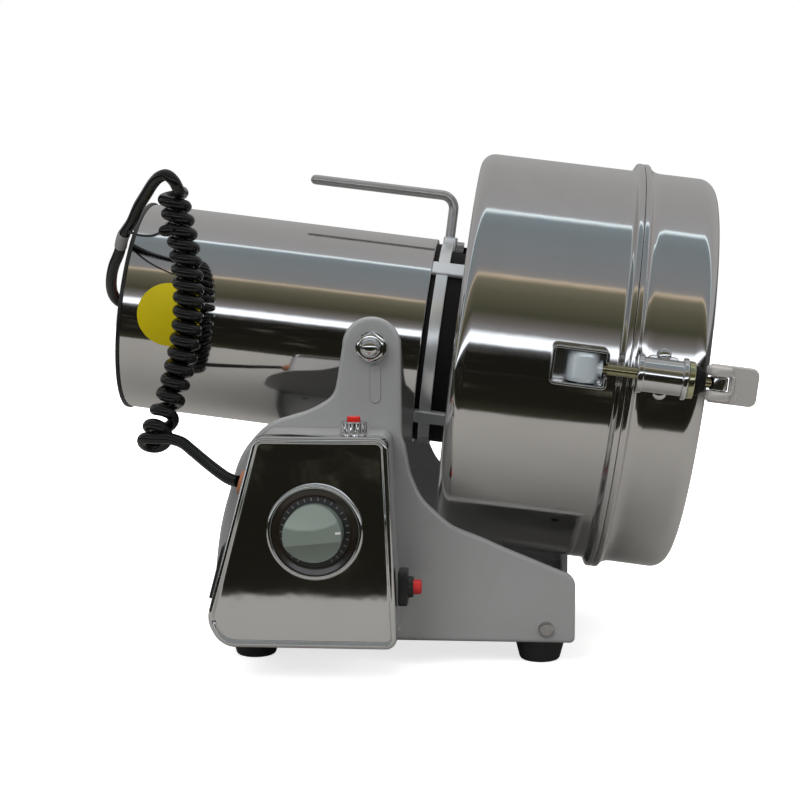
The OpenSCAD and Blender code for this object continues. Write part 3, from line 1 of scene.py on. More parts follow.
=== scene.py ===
# %% [markdown]
# # An electric herb grinder of the swing type
# The real object is a motor, a wide steel bowl and a lid on one axis. They hang on a
# pivot between the ears of a painted stand. A box with a timer stands on the near side,
# and a curly lead runs from it to the motor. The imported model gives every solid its
# place. This lesson loads that model, then makes the finishes and the rounder, finer
# skins that the eye expects. Every length below is in millimetres, times MM.

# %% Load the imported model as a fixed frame
import json

import bpy
import bmesh
import numpy as np
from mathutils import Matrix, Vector


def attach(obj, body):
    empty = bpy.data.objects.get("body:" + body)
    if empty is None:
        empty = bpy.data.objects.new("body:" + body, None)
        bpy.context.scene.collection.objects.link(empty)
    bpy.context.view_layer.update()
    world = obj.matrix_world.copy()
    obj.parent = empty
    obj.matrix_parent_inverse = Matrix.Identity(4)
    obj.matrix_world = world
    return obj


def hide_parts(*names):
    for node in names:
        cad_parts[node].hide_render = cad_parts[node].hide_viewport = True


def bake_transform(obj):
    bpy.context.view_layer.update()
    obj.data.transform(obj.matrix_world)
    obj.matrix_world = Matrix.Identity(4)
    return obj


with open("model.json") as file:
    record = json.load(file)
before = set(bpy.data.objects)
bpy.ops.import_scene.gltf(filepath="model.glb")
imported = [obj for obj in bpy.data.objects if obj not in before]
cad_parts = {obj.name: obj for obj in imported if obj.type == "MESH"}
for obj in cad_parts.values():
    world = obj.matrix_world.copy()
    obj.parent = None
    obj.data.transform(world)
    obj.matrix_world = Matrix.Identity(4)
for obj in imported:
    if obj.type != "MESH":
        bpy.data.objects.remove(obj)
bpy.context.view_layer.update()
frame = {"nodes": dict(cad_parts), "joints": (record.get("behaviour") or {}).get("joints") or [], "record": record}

MM = 0.001
joints = {joint["name"]: joint for joint in frame["joints"]}
slots = {part["node"]: part["material_slot"] for part in frame["record"]["subparts"]}
print("solids:", len(frame["nodes"]), "joints:", sorted(joints))

# %% [markdown]
# ## The head's own axes
# Motor, bowl and lid lean a few degrees, so their shapes are easier to say along the
# leaning axis. The record's joints give the pivot and the direction in which the lid
# slides. From these two come all places on the head.

# %% Places in the stand and in the head
PIVOT = np.array(joints["head_tilt"]["pos_m"])
AXIS = np.array(joints["lid_lift"]["axis"])
BACK = np.array([0.0, 1.0, 0.0])
RISE = np.cross(AXIS, BACK)


def stand_place(x, y, z):
    """Pivot plus x, y and z, for arrays of millimetres."""
    x, y, z = np.broadcast_arrays(x, y, z)
    return PIVOT + MM * np.stack([x, y, z], -1)


def head_place(u, y, n):
    """Pivot plus u along the head axis, y to the back and n square to both."""
    u, y, n = np.broadcast_arrays(u, y, n)
    return PIVOT + MM * (u[..., None] * AXIS + y[..., None] * BACK + n[..., None] * RISE)


def node_points(node):
    """All corners of a CAD node, in metres."""
    mesh = frame["nodes"][node].data
    points = np.empty(len(mesh.vertices) * 3)
    mesh.vertices.foreach_get("co", points)
    return points.reshape(-1, 3)


def head_reach(node):
    """Lowest and highest u of a CAD node, and its greatest distance from the axis."""
    away = (node_points(node) - PIVOT) / MM
    u = away @ AXIS
    return u.min(), u.max(), np.linalg.norm(away - u[:, None] * AXIS, axis=1).max()


print("motor shell from u, to u, radius:", np.round(head_reach("motor_shell"), 2))
print("bowl from u, to u, radius:", np.round(head_reach("bowl"), 2))

# %% [markdown]
# ## The camera
# The photograph was taken from just above the table, a little to the lid's side of
# square on, with a long lens. The camera looks at the middle of the object from the
# same bearing and height, and its lens frames the object as the photograph does.

# %% Camera at the photograph's viewing angle
BEARING, ELEVATION = np.radians([4.0, 6.0])
LOOK_AT = PIVOT + MM * np.array([10.4, 0.0, -40.0])
CAMERA_AWAY, NEAREST = 1.09375, 0.05
LENS, SENSOR = 78.75, 36.0


def facing(way):
    """The rotation of a camera or a lamp that looks along a direction."""
    return Vector(way).to_track_quat("-Z", "Y").to_euler()


camera_back = np.array([np.sin(BEARING) * np.cos(ELEVATION),
                        -np.cos(BEARING) * np.cos(ELEVATION), np.sin(ELEVATION)])
camera = bpy.data.objects.new("camera", bpy.data.cameras.new("camera"))
camera.data.lens = LENS
camera.data.sensor_width = SENSOR
camera.data.clip_start = NEAREST
camera.location = LOOK_AT + CAMERA_AWAY * camera_back
camera.rotation_euler = facing(-camera_back)
bpy.context.collection.objects.link(camera)
bpy.context.scene.camera = camera
bpy.context.scene.view_settings.view_transform = "Standard"
print("camera at", np.round(camera.location, 3))

# %% [markdown]
# ## Surfaces worked out with numpy
# Every new skin is a grid of points: one direction runs along a profile or path, the
# other round it or across it. The helpers turn such grids into a mesh, join what meets,
# and mark as sharp only the real corners, so that the reflections stay smooth.

# %% From grids of points to a piece
SHARP = np.radians(35.0)
WELD, SLIVER = 0.002 * MM, 0.001 * MM


def grid_faces(rows, columns, ring, loop=False):
    """Quads between neighbouring grid points; ring joins the last column to the first,
    loop joins the last row to the first."""
    i = np.arange(rows if loop else rows - 1)[:, None]
    j = np.arange(columns if ring else columns - 1)[None, :]
    low, high = i * columns, (i + 1) % rows * columns
    right = (j + 1) % columns
    return np.stack([low + j, low + right, high + right, high + j], -1).reshape(-1, 4)


def skin(points, ring=True, loop=False):
    """A grid of points with its quads."""
    rows, columns = points.shape[:2]
    return points.reshape(-1, 3), grid_faces(rows, columns, ring, loop)


def make_piece(name, skins, finish, body, *nodes, slot=None):
    """Joins the skins in one mesh, welds what meets and turns the faces outwards. The
    piece is handed to its body, and the CAD nodes that it stands for are hidden. The
    slot argument is not used."""
    starts = np.cumsum([0] + [len(points) for points, _ in skins])
    points = np.concatenate([points for points, _ in skins])
    faces = [face for (_, quads), start in zip(skins, starts)
             for face in (quads + start).tolist()]
    mesh = bpy.data.meshes.new(name)
    mesh.from_pydata(points.tolist(), [], faces)
    work = bmesh.new()
    work.from_mesh(mesh)
    bmesh.ops.remove_doubles(work, verts=work.verts, dist=WELD)
    bmesh.ops.dissolve_degenerate(work, dist=SLIVER, edges=work.edges)
    bmesh.ops.recalc_face_normals(work, faces=work.faces)
    work.to_mesh(mesh)
    work.free()
    mesh.shade_smooth()
    mesh.set_sharp_from_angle(angle=SHARP)
    mesh.materials.append(finishes[finish])
    piece = bpy.data.objects.new(name, mesh)
    bpy.context.collection.objects.link(piece)
    slot = slot or finish
    if body:
        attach(piece, body)
    if nodes:
        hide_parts(*nodes)
    print(name, "has", len(mesh.polygons), "faces")
    return piece


# %% Profiles, and what they become when they turn
STRAIGHT = 1.56


def rounded(corners, radii, steps=6):
    """A profile with its corners rounded: each corner becomes an arc of the given
    radius, tangent to both of its sides. Sides that run on straight, at half an angle
    over STRAIGHT radians, need no arc, and where a side has no length the arc's points
    lie on the corner. The ends of the profile stay."""
    corners = np.array(corners, float)
    line = [corners[:1]]
    for before, corner, after, radius in zip(corners, corners[1:], corners[2:], radii):
        a, b = before - corner, after - corner
        if not (a.any() and b.any()):
            line.append(np.repeat(corner[None], steps + 1 if radius else 1, 0))
            continue
        a, b = a / np.linalg.norm(a), b / np.linalg.norm(b)
        half = np.arccos(np.clip(a @ b, -1, 1)) / 2
        if radius == 0 or half > STRAIGHT:
            line.append(corner[None])
            continue
        centre = corner + (a + b) / np.linalg.norm(a + b) * radius / np.sin(half)
        start, end = corner + a * radius / np.tan(half), corner + b * radius / np.tan(half)
        share = np.linspace(0, 1, steps + 1)[:, None]
        spoke = start * (1 - share) + end * share - centre
        line.append(centre + radius * spoke / np.linalg.norm(spoke, axis=1)[:, None])
    line.append(corners[-1:])
    return np.concatenate(line)


def full_turn(count):
    """Angles spread evenly over a full turn, each once."""
    return np.linspace(0, 2 * np.pi, count, endpoint=False)


def turned(profile, place, turns=160, loop=False):
    """A profile of (distance along, radius) turned about an axis: the point at angle a
    is the radius times (cos a, sin a) across the axis, set out by place."""
    angle = full_turn(turns)
    along, radius = np.array(profile, float).T[..., None]
    return skin(place(along, radius * np.cos(angle), radius * np.sin(angle)), loop=loop)


def spun(corners, radii, place, turns=160, steps=5):
    """A turned skin whose profile has rounded corners. A profile that ends on its first
    corner is the section of a ring, and is joined to itself."""
    closed = tuple(corners[0]) == tuple(corners[-1])
    profile = rounded(corners, radii, steps)
    return turned(profile[:-1] if closed else profile, place, turns, loop=closed)


# %% [markdown]
# ## Tubes along a path
# The lead, the handle and the ties are round tubes. Each ring of such a tube stands
# square to the path. A first side direction comes from the world axis least in line
# with the path. The turn between neighbouring rings is then measured, summed and taken
# off, which leaves rings that never twist.

# %% A tube along a path
def unit(rows):
    """Rows of length one."""
    return rows / np.linalg.norm(rows, axis=-1, keepdims=True)


def ring_frames(path):
    """Along, side and up directions for every point of a path, free of twist."""
    along = unit(np.gradient(path, axis=0))
    least = np.eye(3)[np.abs(along).argmin(axis=1)]
    side = unit(least - (least * along).sum(1)[:, None] * along)
    up = np.cross(along, side)
    carried = side[:-1] - (side[:-1] * along[1:]).sum(1)[:, None] * along[1:]
    turn = np.arctan2((carried * up[1:]).sum(1), (carried * side[1:]).sum(1))
    angle = np.concatenate([[0], np.cumsum(turn)])[:, None]
    return along, np.cos(angle) * side + np.sin(angle) * up, \
        np.cos(angle) * up - np.sin(angle) * side


def tube(path, radius, sides=16, closed_ends=True):
    """Rings of the given radius round a path of points in metres; at each end the rings
    shrink to a point, which closes the tube."""
    along, side, up = ring_frames(path)
    radius = np.broadcast_to(radius, len(path)).astype(float)
    if closed_ends:
        pick = np.r_[0, 0:len(path), len(path) - 1]
        path, side, up = path[pick], side[pick], up[pick]
        radius = np.r_[0, radius, 0]
    angle = full_turn(sides)[None, :, None]
    rings = path[:, None] + radius[:, None, None] * (
        np.cos(angle) * side[:, None] + np.sin(angle) * up[:, None])
    return skin(rings)


def smooth_route(points, steps):
    """A smooth curve through given points: on each stretch the cubic that passes
    through both ends, with slopes of half the way between their neighbours."""
    p = np.array(points, float)
    a, b, c, e = p[np.r_[0, 0:len(p) - 2]], p[:-1], p[1:], p[np.r_[2:len(p), len(p) - 1]]
    s = (np.arange(steps) / steps)[None, :, None]
    a, b, c, e = a[:, None], b[:, None], c[:, None], e[:, None]
    curve = 0.5 * (2 * b + (c - a) * s + (2 * a - 5 * b + 4 * c - e) * s ** 2
                   + (3 * b - a - 3 * c + e) * s ** 3)
    return np.concatenate([curve.reshape(-1, p.shape[1]), p[-1:]])


# %% [markdown]
# ## Finishes
# A finish is a Principled BSDF whose colour, roughness and normal vary over the surface.
# Marks that several finishes share are node groups: fine grain, polishing marks that run
# round the axis, smudges from handling, and dust that lies on top. The patterns read
# Object coordinates, and every object sits at the origin, so they stay with the piece
# when it moves.

# %% Helpers for node trees
def new_group(name, inputs, outputs):
    """An empty shader group with named input and output sockets."""
    group = bpy.data.node_groups.new(name, "ShaderNodeTree")
    for label, value in inputs.items():
        kind = "NodeSocketVector" if value is None else "NodeSocketFloat"
        socket = group.interface.new_socket(label, in_out="INPUT", socket_type=kind)
        if value is not None:
            socket.default_value = value
    for label in outputs:
        group.interface.new_socket(label, in_out="OUTPUT", socket_type="NodeSocketFloat")
    return group, group.nodes.new("NodeGroupInput"), group.nodes.new("NodeGroupOutput")


def add(tree, kind, settings=(), **inputs):
    """A new node. Each input is a plain value, or another node's output to link; a name
    with a number, such as _0, is the input of that number."""
    node = tree.nodes.new(kind)
    for key, value in dict(settings).items():
        setattr(node, key, value)
    for key, value in inputs.items():
        socket = node.inputs[int(key[1:]) if key[0] == "_" else key.replace("_", " ")]
        if isinstance(value, bpy.types.NodeSocket):
            tree.links.new(value, socket)
        else:
            socket.default_value = value
    return node


def maths(tree, operation, a, b=0.0, clamp=False):
    """One Math node, as its output."""
    return add(tree, "ShaderNodeMath", {"operation": operation, "use_clamp": clamp},
               _0=a, _1=b).outputs[0]


def ranged(tree, value, start=0.0, end=1.0, low=0.0, high=1.0):
    """A value that goes from start to end, as one that goes from low to high."""
    return add(tree, "ShaderNodeMapRange", Value=value, _1=start, _2=end, _3=low,
               _4=high).outputs[0]


def noise(tree, place, scale, detail, roughness=0.5, distortion=0.0):
    """The value of a Noise Texture."""
    return add(tree, "ShaderNodeTexNoise", Vector=place, Scale=scale, Detail=detail,
               Roughness=roughness, Distortion=distortion).outputs["Fac"]


def blend_colours(tree, share, first, second):
    """Mix of two colours by a share, as the mixed colour."""
    node = add(tree, "ShaderNodeMix", {"data_type": "RGBA"}, _0=share, _6=first, _7=second)
    return node.outputs[2]


# %% Shared marks: grain, polishing marks, smudges and dust
ROUND_STEP, BAND_SCALE = 0.0015, 60.0
SMUDGE_FROM, SMUDGE_GAIN = 0.42, 3.2
DUST_FROM, DUST_GAIN, DUST_SCALE = 0.35, 1.6, 160.0


def grain_group():
    """Fine grain: a small noise, as height and as a mask."""
    group, given, made = new_group("Fine grain", {"Place": None, "Fineness": 900.0},
                                   ["Grain"])
    grain = noise(group, given.outputs["Place"], given.outputs["Fineness"], 3.0, 0.6)
    group.links.new(grain, made.inputs["Grain"])
    return group


def polish_group():
    """Polishing marks: noise that changes fast along the head axis and with the distance
    from it, and slowly round it, so that its streaks run round the axis."""
    group, given, made = new_group("Polishing marks", {"Place": None, "Fineness": 1400.0},
                                   ["Streaks", "Bands"])
    away = add(group, "ShaderNodeVectorMath", {"operation": "SUBTRACT"},
               _0=given.outputs["Place"], _1=tuple(PIVOT)).outputs[0]
    along, rise, side = (
        add(group, "ShaderNodeVectorMath", {"operation": "DOT_PRODUCT"}, _0=away,
            _1=tuple(way)).outputs["Value"] for way in (AXIS, RISE, BACK))
    radius = maths(group, "SQRT", maths(group, "ADD", maths(group, "MULTIPLY", rise, rise),
                                        maths(group, "MULTIPLY", side, side)))
    round_share = maths(group, "MULTIPLY", maths(group, "ARCTAN2", rise, side), ROUND_STEP)
    spot = add(group, "ShaderNodeCombineXYZ", X=along, Y=radius, Z=round_share).outputs[0]
    for label, scale, detail in (("Streaks", given.outputs["Fineness"], 4.0),
                                 ("Bands", BAND_SCALE, 2.0)):
        group.links.new(noise(group, spot, scale, detail, 0.7), made.inputs[label])
    return group


def smudge_group():
    """Smudges from handling: broad soft patches broken up by finer ones, from 0 to 1."""
    group, given, made = new_group("Handling smudges", {"Place": None, "Size": 18.0,
                                                        "Amount": 0.5}, ["Smudge"])
    broad = noise(group, given.outputs["Place"], given.outputs["Size"], 5.0, 0.62, 0.6)
    raised = maths(group, "MULTIPLY", maths(group, "SUBTRACT", broad, SMUDGE_FROM),
                   SMUDGE_GAIN, True)
    group.links.new(maths(group, "MULTIPLY", raised, given.outputs["Amount"]),
                    made.inputs["Smudge"])
    return group


def dust_group():
    """Settled dust: where the surface faces up, broken up by noise, from 0 to 1."""
    group, given, made = new_group("Settled dust", {"Place": None, "Amount": 0.3}, ["Dust"])
    normal = group.nodes.new("ShaderNodeNewGeometry").outputs["Normal"]
    up = add(group, "ShaderNodeSeparateXYZ", _0=normal).outputs["Z"]
    flat = maths(group, "MULTIPLY", maths(group, "SUBTRACT", up, DUST_FROM), DUST_GAIN,
                 True)
    specks = noise(group, given.outputs["Place"], DUST_SCALE, 6.0, 0.7)
    amount = maths(group, "MULTIPLY", maths(group, "MULTIPLY", flat, specks),
                   given.outputs["Amount"], True)
    group.links.new(amount, made.inputs["Dust"])
    return group


GRAIN, POLISH, SMUDGE, DUST = grain_group(), polish_group(), smudge_group(), dust_group()
print("shared groups:", [group.name for group in (GRAIN, POLISH, SMUDGE, DUST)])


# %% [markdown]
# ## A material from its marks
# Each finish starts from one function that places the shared groups, so that a finish
# below says only what is its own: its two colours, its two roughnesses, and how strong
# its grain stands out.

# %% The base of every finish
def shade(grey, warm=0.0):
    """A linear colour of a given grey, a little warmer or cooler."""
    return (grey * (1 + warm), grey, grey * (1 - warm), 1.0)


def mark(tree, group, place, **inputs):
    """A shared group in a material, fed with the Object coordinates."""
    node = add(tree, "ShaderNodeGroup", {"node_tree": group}, Place=place)
    for key, value in inputs.items():
        node.inputs[key].default_value = value
    return node.outputs


finishes = {}
DUST_COLOUR = shade(0.45, 0.05)
SMUDGE_SIZE, WAVE_FINENESS = 18.0, 24.0
TONE_SHARE, WORN_SHARE = 0.5, 0.75


def new_finish(name, clean, worn, metal, smooth, rough, relief, fineness=900.0,
               turned_marks=False, dust=0.0, smudge=0.6, waves=0.0, **constants):
    """A finish between a clean and a worn colour and between two roughnesses. The
    smudges choose between them; grain or polishing marks give the relief, in mm, and
    waves give the height of slow dents in pressed or spun sheet. Constants are plain
    values of the shader, such as Coat_Weight."""
    material = finishes[name] = bpy.data.materials.new(name.replace("_", " "))
    material.use_nodes = True
    tree = material.node_tree
    shader = tree.nodes["Principled BSDF"]
    place = tree.nodes.new("ShaderNodeTexCoord").outputs["Object"]
    handled = mark(tree, SMUDGE, place, Size=SMUDGE_SIZE, Amount=smudge)["Smudge"]
    if turned_marks:
        marks = mark(tree, POLISH, place, Fineness=fineness)
        height, bands = marks["Streaks"], marks["Bands"]
    else:
        height = bands = mark(tree, GRAIN, place, Fineness=fineness)["Grain"]
    tone = maths(tree, "MULTIPLY", bands, TONE_SHARE)
    share = maths(tree, "MULTIPLY", maths(tree, "ADD", handled, tone), WORN_SHARE, True)
    colour = blend_colours(tree, share, clean, worn)
    if dust:
        lying = mark(tree, DUST, place, Amount=dust)["Dust"]
        colour = blend_colours(tree, lying, colour, DUST_COLOUR)
        share = maths(tree, "ADD", share, lying, True)
    tree.links.new(colour, shader.inputs["Base Color"])
    tree.links.new(ranged(tree, share, low=smooth, high=rough), shader.inputs["Roughness"])
    bump = add(tree, "ShaderNodeBump", Height=height, Strength=1.0, Distance=relief * MM)
    if waves:
        slow = mark(tree, GRAIN, place, Fineness=WAVE_FINENESS)["Grain"]
        bump = add(tree, "ShaderNodeBump", Height=slow, Strength=1.0, Distance=waves * MM,
                   Normal=bump.outputs["Normal"])
    tree.links.new(bump.outputs["Normal"], shader.inputs["Normal"])
    for key, value in dict(constants, Metallic=metal).items():
        shader.inputs[key.replace("_", " ")].default_value = value


# %% [markdown]
# ## The finish of every slot in the record
# Steel and chrome are full metals. Their look is in the roughness: mirror steel is below
# a tenth, spun and zinc-plated sheet above. The stand is a satin paint with a fine orange
# peel. Rubber and moulded plastic are rougher, and the lead's sheath shines. Each line
# says, in this order: the clean and the worn colour, how much of a metal it is, the
# roughness where it is clean and where it is worn, the relief in mm and its fineness.

# %% Finishes of metals and paint
new_finish("silver_paint", shade(0.39, -0.008), shade(0.33, 0.01), 0.35, 0.30, 0.44, 0.012,
           1500.0, dust=0.25, Coat_Weight=0.25, Coat_Roughness=0.22)
new_finish("panel_steel", shade(0.74, 0.004), shade(0.66, 0.01), 1.0, 0.035, 0.10, 0.0006,
           700.0, smudge=0.5, waves=0.12)
new_finish("polished_steel", shade(0.70, 0.012), shade(0.62, 0.02), 1.0, 0.05, 0.13, 0.0008,
           1800.0, turned_marks=True, smudge=0.5, waves=0.08)
new_finish("cap_steel", shade(0.62, 0.006), shade(0.52, 0.01), 1.0, 0.22, 0.38, 0.004,
           2200.0, turned_marks=True)
new_finish("bright_chrome", shade(0.78), shade(0.66, 0.01), 1.0, 0.06, 0.16, 0.001)
new_finish("bracket_steel", shade(0.66, 0.008), shade(0.52, 0.015), 1.0, 0.12, 0.26, 0.003,
           1200.0)
new_finish("zinc_steel", shade(0.60, 0.02), shade(0.44, 0.06), 1.0, 0.22, 0.42, 0.004,
           1200.0)
new_finish("cast_aluminium", shade(0.74, -0.02), shade(0.66, -0.01), 0.7, 0.24, 0.34, 0.003,
           1600.0, turned_marks=True, smudge=0.15)
new_finish("shaft_steel", shade(0.60), shade(0.50, 0.01), 1.0, 0.16, 0.30, 0.003, 2400.0,
           turned_marks=True)
new_finish("blade_steel", shade(0.64), shade(0.52, 0.01), 1.0, 0.18, 0.34, 0.004, 1800.0)
new_finish("core_steel", shade(0.26), shade(0.18, 0.05), 0.9, 0.35, 0.55, 0.03, 2600.0,
           turned_marks=True)
new_finish("copper", (0.62, 0.28, 0.12, 1), (0.42, 0.16, 0.07, 1), 0.9, 0.25, 0.42, 0.10)

# %% Finishes of what is moulded
new_finish("carbon", shade(0.035), shade(0.06), 0.0, 0.5, 0.7, 0.01)
new_finish("black_plastic", shade(0.007), shade(0.016), 0.0, 0.32, 0.5, 0.010, 1400.0,
           dust=0.06)
new_finish("black_rubber", shade(0.008), shade(0.018), 0.0, 0.5, 0.72, 0.03, 1100.0,
           dust=0.10)
new_finish("lead_sheath", shade(0.0035), shade(0.008), 0.0, 0.13, 0.20, 0.003, 1500.0,
           smudge=0.3)
new_finish("brown_rubber", (0.36, 0.13, 0.06, 1), (0.24, 0.09, 0.05, 1), 0.0, 0.45, 0.65,
           0.03)
new_finish("white_silicone", shade(0.62, 0.01), shade(0.5, 0.03), 0.0, 0.4, 0.6, 0.02)
new_finish("knob_plastic", (0.172, 0.208, 0.182, 1), (0.140, 0.170, 0.149, 1), 0.0, 0.28,
           0.42, 0.004, 1200.0, Coat_Weight=0.8, Coat_Roughness=0.08)
new_finish("red_lens", (0.55, 0.02, 0.012, 1), (0.45, 0.015, 0.01, 1), 0.0, 0.12, 0.2,
           0.002, Coat_Weight=0.6, Coat_Roughness=0.06)
new_finish("red_plastic", (0.52, 0.018, 0.018, 1), (0.38, 0.014, 0.014, 1), 0.0, 0.28, 0.42,
           0.006)

# %% [markdown]
# Some pieces share a slot with others, and still look different: the gasket by the bowl,
# the dark dish of the dial, and the rods, washers and levers of the clamps. They have a
# finish of their own.

# %% Finishes of single pieces, and a finish for each solid
new_finish("dish_plastic", (0.012, 0.008, 0.005, 1), (0.03, 0.021, 0.014, 1), 0.0, 0.16,
           0.30, 0.004, Coat_Weight=0.5, Coat_Roughness=0.06)
new_finish("dial_print", shade(0.16), shade(0.10), 0.0, 0.4, 0.6, 0.004)
# Near-black rubber with weak specular. The gaskets wear it, and its darkness also paints the shade of the gaps
# beside the ring; the clamps' black rings wear it as painted shade of the gap before the lever.
new_finish("black_gasket_and_gap_shade", shade(0.004), shade(0.009), 0.0, 0.5, 0.7, 0.02, 1100.0,
           Specular_IOR_Level=0.2)
new_finish("handle_steel", shade(0.62, 0.01), shade(0.50, 0.015), 0.9, 0.28, 0.40, 0.0006)
new_finish("satin_chrome", (0.66, 0.73, 0.78, 1), (0.56, 0.62, 0.66, 1), 0.45, 0.18, 0.30,
           0.002, 1200.0)
new_finish("olive_zinc", (0.46, 0.42, 0.26, 1), (0.34, 0.30, 0.18, 1), 1.0, 0.18, 0.32,
           0.003, 1200.0)
new_finish("brassy_zinc", (0.62, 0.62, 0.40, 1), (0.50, 0.48, 0.28, 1), 1.0, 0.14, 0.26,
           0.002, 1200.0)
new_finish("lever_steel", shade(0.56, 0.04), shade(0.44, 0.05), 0.45, 0.22, 0.34, 0.006,
           1300.0, smudge=0.4)
new_finish("grey_tape", shade(0.30, 0.01), shade(0.22, 0.02), 0.0, 0.40, 0.6, 0.02)
new_finish("yellow_film", (0.50, 0.41, 0.003, 1), (0.44, 0.36, 0.004, 1), 0.0, 0.36, 0.50,
           0.002, 600.0, Specular_IOR_Level=0.2)

# The bowl's gasket gets the near-black finish that also paints the shade of its gap.
BY_NODE = {"bowl_gasket": "black_gasket_and_gap_shade"}
for node, slot in slots.items():
    mesh = frame["nodes"][node].data
    mesh.materials.clear()
    mesh.materials.append(finishes[BY_NODE.get(node, slot)])
print("finishes:", len(finishes), "given to", len(slots), "solids")

# %% [markdown]
# ## The curly lead
# The lead is one length of black sheathed cable. It leaves a grommet in the control
# box, hangs in a coil that was set when the sheath was hot, and climbs over to a gland
# in the motor's rear cap. Its route repeats the imported model's: listed points for
# the free stretches, and a helix round a bowed axis for the curls.

# %% Route of the lead
LEAD_D = 6.8
CURLS = 17.75
CURL_RADIUS, CURL_START = 6.0, 270.0
CURL_LOW, CURL_HIGH = np.array([-127.0, -80, -54]), np.array([-116.0, -79, 88])
CURL_BOW = 14.0
HOOK_TURNS, HOOK_FADE, HOOK_GROW, HOOK_TILT = 3.5, 3.0, 0.4, 5.5
HOOK_SHIFT = np.array([-2.0, -2.0, 0.0])


def curl_points(steps_a_turn):
    """Helix round a bowed axis: the axis point plus the radius times (cos, sin) of an
    angle that falls by one turn a curl. The lowest turns, which take the pull of the
    tail, are wider and lean by a share that fades out over the next turns."""
    t = np.linspace(0, 1, int(CURLS * steps_a_turn) + 1)[:, None]
    hook = np.clip((HOOK_TURNS - t * CURLS) / HOOK_FADE, 0, 1)
    hook = hook * hook * (3 - 2 * hook)
    axis = CURL_LOW + (CURL_HIGH - CURL_LOW) * t + hook * HOOK_SHIFT
    axis = axis + CURL_BOW * np.sin(np.pi * t) * [1, 0, 0]
    angle = np.radians(CURL_START - 360 * CURLS * t)
    radius = CURL_RADIUS + HOOK_GROW * hook
    return axis + np.concatenate([radius * np.cos(angle), radius * np.sin(angle),
                                  -HOOK_TILT * hook * (1 + np.sin(angle))], 1)


curl = curl_points(24)
tail = smooth_route([
    curl[0] + [1.6 * LEAD_D, 0, 0], [-110, -91, -56], [-103, -96, -60], [-92, -105, -66.5],
    [-82, -114, -71.5], [-76.5, -118, -73.5], [-72.4, -120.5, -74]], 6)
riser = smooth_route([
    curl[-1] + [0, -1.5 * LEAD_D, 0.6], [-112, -93, 94], [-116.5, -91, 97.5],
    [-121.5, -88, 96.5], [-126.5, -82, 93], [-132, -75, 87], [-138, -68, 80],
    [-144, -60, 71], [-151.5, -51, 62.5], [-156, -42, 53], [-162, -32, 44],
    [-166, -22, 35.5], [-168, -12, 28], [-167, -4.5, 22.5], [-163.5, -0.8, 20],
    [-158.4, 0, 19.4]], 6)
free = np.concatenate([tail[::-1], [curl[0] + [LEAD_D, 0, 0]], curl,
                       [curl[-1] - [0, LEAD_D, 0]], riser])
route = stand_place(*free.T)

# %% [markdown]
# On the grinder the lead's tail stays with the stand and its riser goes with the head.
# Here the lead, its tape and its tie belong to no body, and their places are baked into
# their meshes. A sleeve of grey tape sits on the riser, and a thin black tie holds it
# to the curls.

# %% The lead as one tube, with its tape and tie
TAPE_LOW, TAPE_HIGH, TAPE_LEFT_OF = 54.8, 64.8, -140.0
TAPE_OVER, TAPE_UNDER, TAPE_RUN_ON = 0.35, 0.1, 0.02
TIE_R, KNOT, KNOT_REACH = 0.8, (-117.5, -91.2, 66.0), (4.3, 2.4, 3.4)
TIE = [(-148.6, -56.5, 66.5), (-140, -67, 63.5), (-128, -80, 63), (-121, -88.6, 65)]


def bend_with_lead(piece):
    """Bakes a piece's place into its mesh."""
    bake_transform(piece)


def tape_skin():
    """A tube round the riser between two heights, a little wider than the lead. Its ends
    run on by a share of a step, and come down into the lead."""
    high = (riser[:, 2] > TAPE_LOW) & (riser[:, 2] < TAPE_HIGH)
    taped = riser[high & (riser[:, 0] < TAPE_LEFT_OF)]
    first, last = (end + TAPE_RUN_ON * (end - inner)
                   for end, inner in ((taped[0], taped[1]), (taped[-1], taped[-2])))
    path = np.concatenate([[first], taped, [last]])
    radius = np.full(len(path), LEAD_D / 2 + TAPE_OVER)
    radius[[0, -1]] = LEAD_D / 2 - TAPE_UNDER
    return tube(stand_place(*path.T), radius * MM, 40)


def lump_skin(centre, reach):
    """An egg-shaped lump: reach times (cos a cos b, sin a cos b, sin b)."""
    b = np.linspace(-np.pi / 2, np.pi / 2, 14)[:, None]
    a = full_turn(24)[None]
    ball = np.cos(b) * np.cos(a), np.cos(b) * np.sin(a), np.sin(b) + 0 * a
    return skin(stand_place(*(c + r * part for c, r, part in zip(centre, reach, ball))))


tape = make_piece("lead_tape", [tape_skin()], "grey_tape", None, slot="lead_sheath")
tie = make_piece("lead_tie", [tube(stand_place(*smooth_route(TIE, 8).T), TIE_R * MM, 10),
                              lump_skin(KNOT, KNOT_REACH)], "lead_sheath", None)
lead = make_piece("motor_lead", [tube(route, LEAD_D / 2 * MM, 16)], "lead_sheath", None,
                  "motor_lead_tail", "motor_lead_curl", "motor_lead_riser")
for piece in (tape, tie, lead):
    bend_with_lead(piece)

# %% [markdown]
# ## The motor's shell and its rear edge
# The motor shell is a rolled steel tube, polished on the outside. It could be a plain
# cylinder with a Solidify modifier, but its two lips catch the light, so its wall is
# one closed profile turned about the head axis, with the lips rounded.

# %% Motor shell
SHELL_FROM, SHELL_TO, SHELL_R = head_reach("motor_shell")
SHELL_WALL, SHELL_LIP = 1.5, 0.6
shell_middle, shell_inside = (SHELL_FROM + SHELL_TO) / 2, SHELL_R - SHELL_WALL
make_piece("motor_tube", [spun(
    [(shell_middle, SHELL_R), (SHELL_TO, SHELL_R), (SHELL_TO, shell_inside),
     (SHELL_FROM, shell_inside), (SHELL_FROM, SHELL_R), (shell_middle, SHELL_R)],
    [SHELL_LIP] * 4, head_place, 192, 4)],
    "polished_steel", "head", "motor_shell")

# %% [markdown]
# A thin black trim covers the shell's rear edge. In the photograph it is the fine dark
# line at the far left. It is a small U round the lip. It could be swept along a circle;
# turned like the shell, it takes its sizes from the shell.

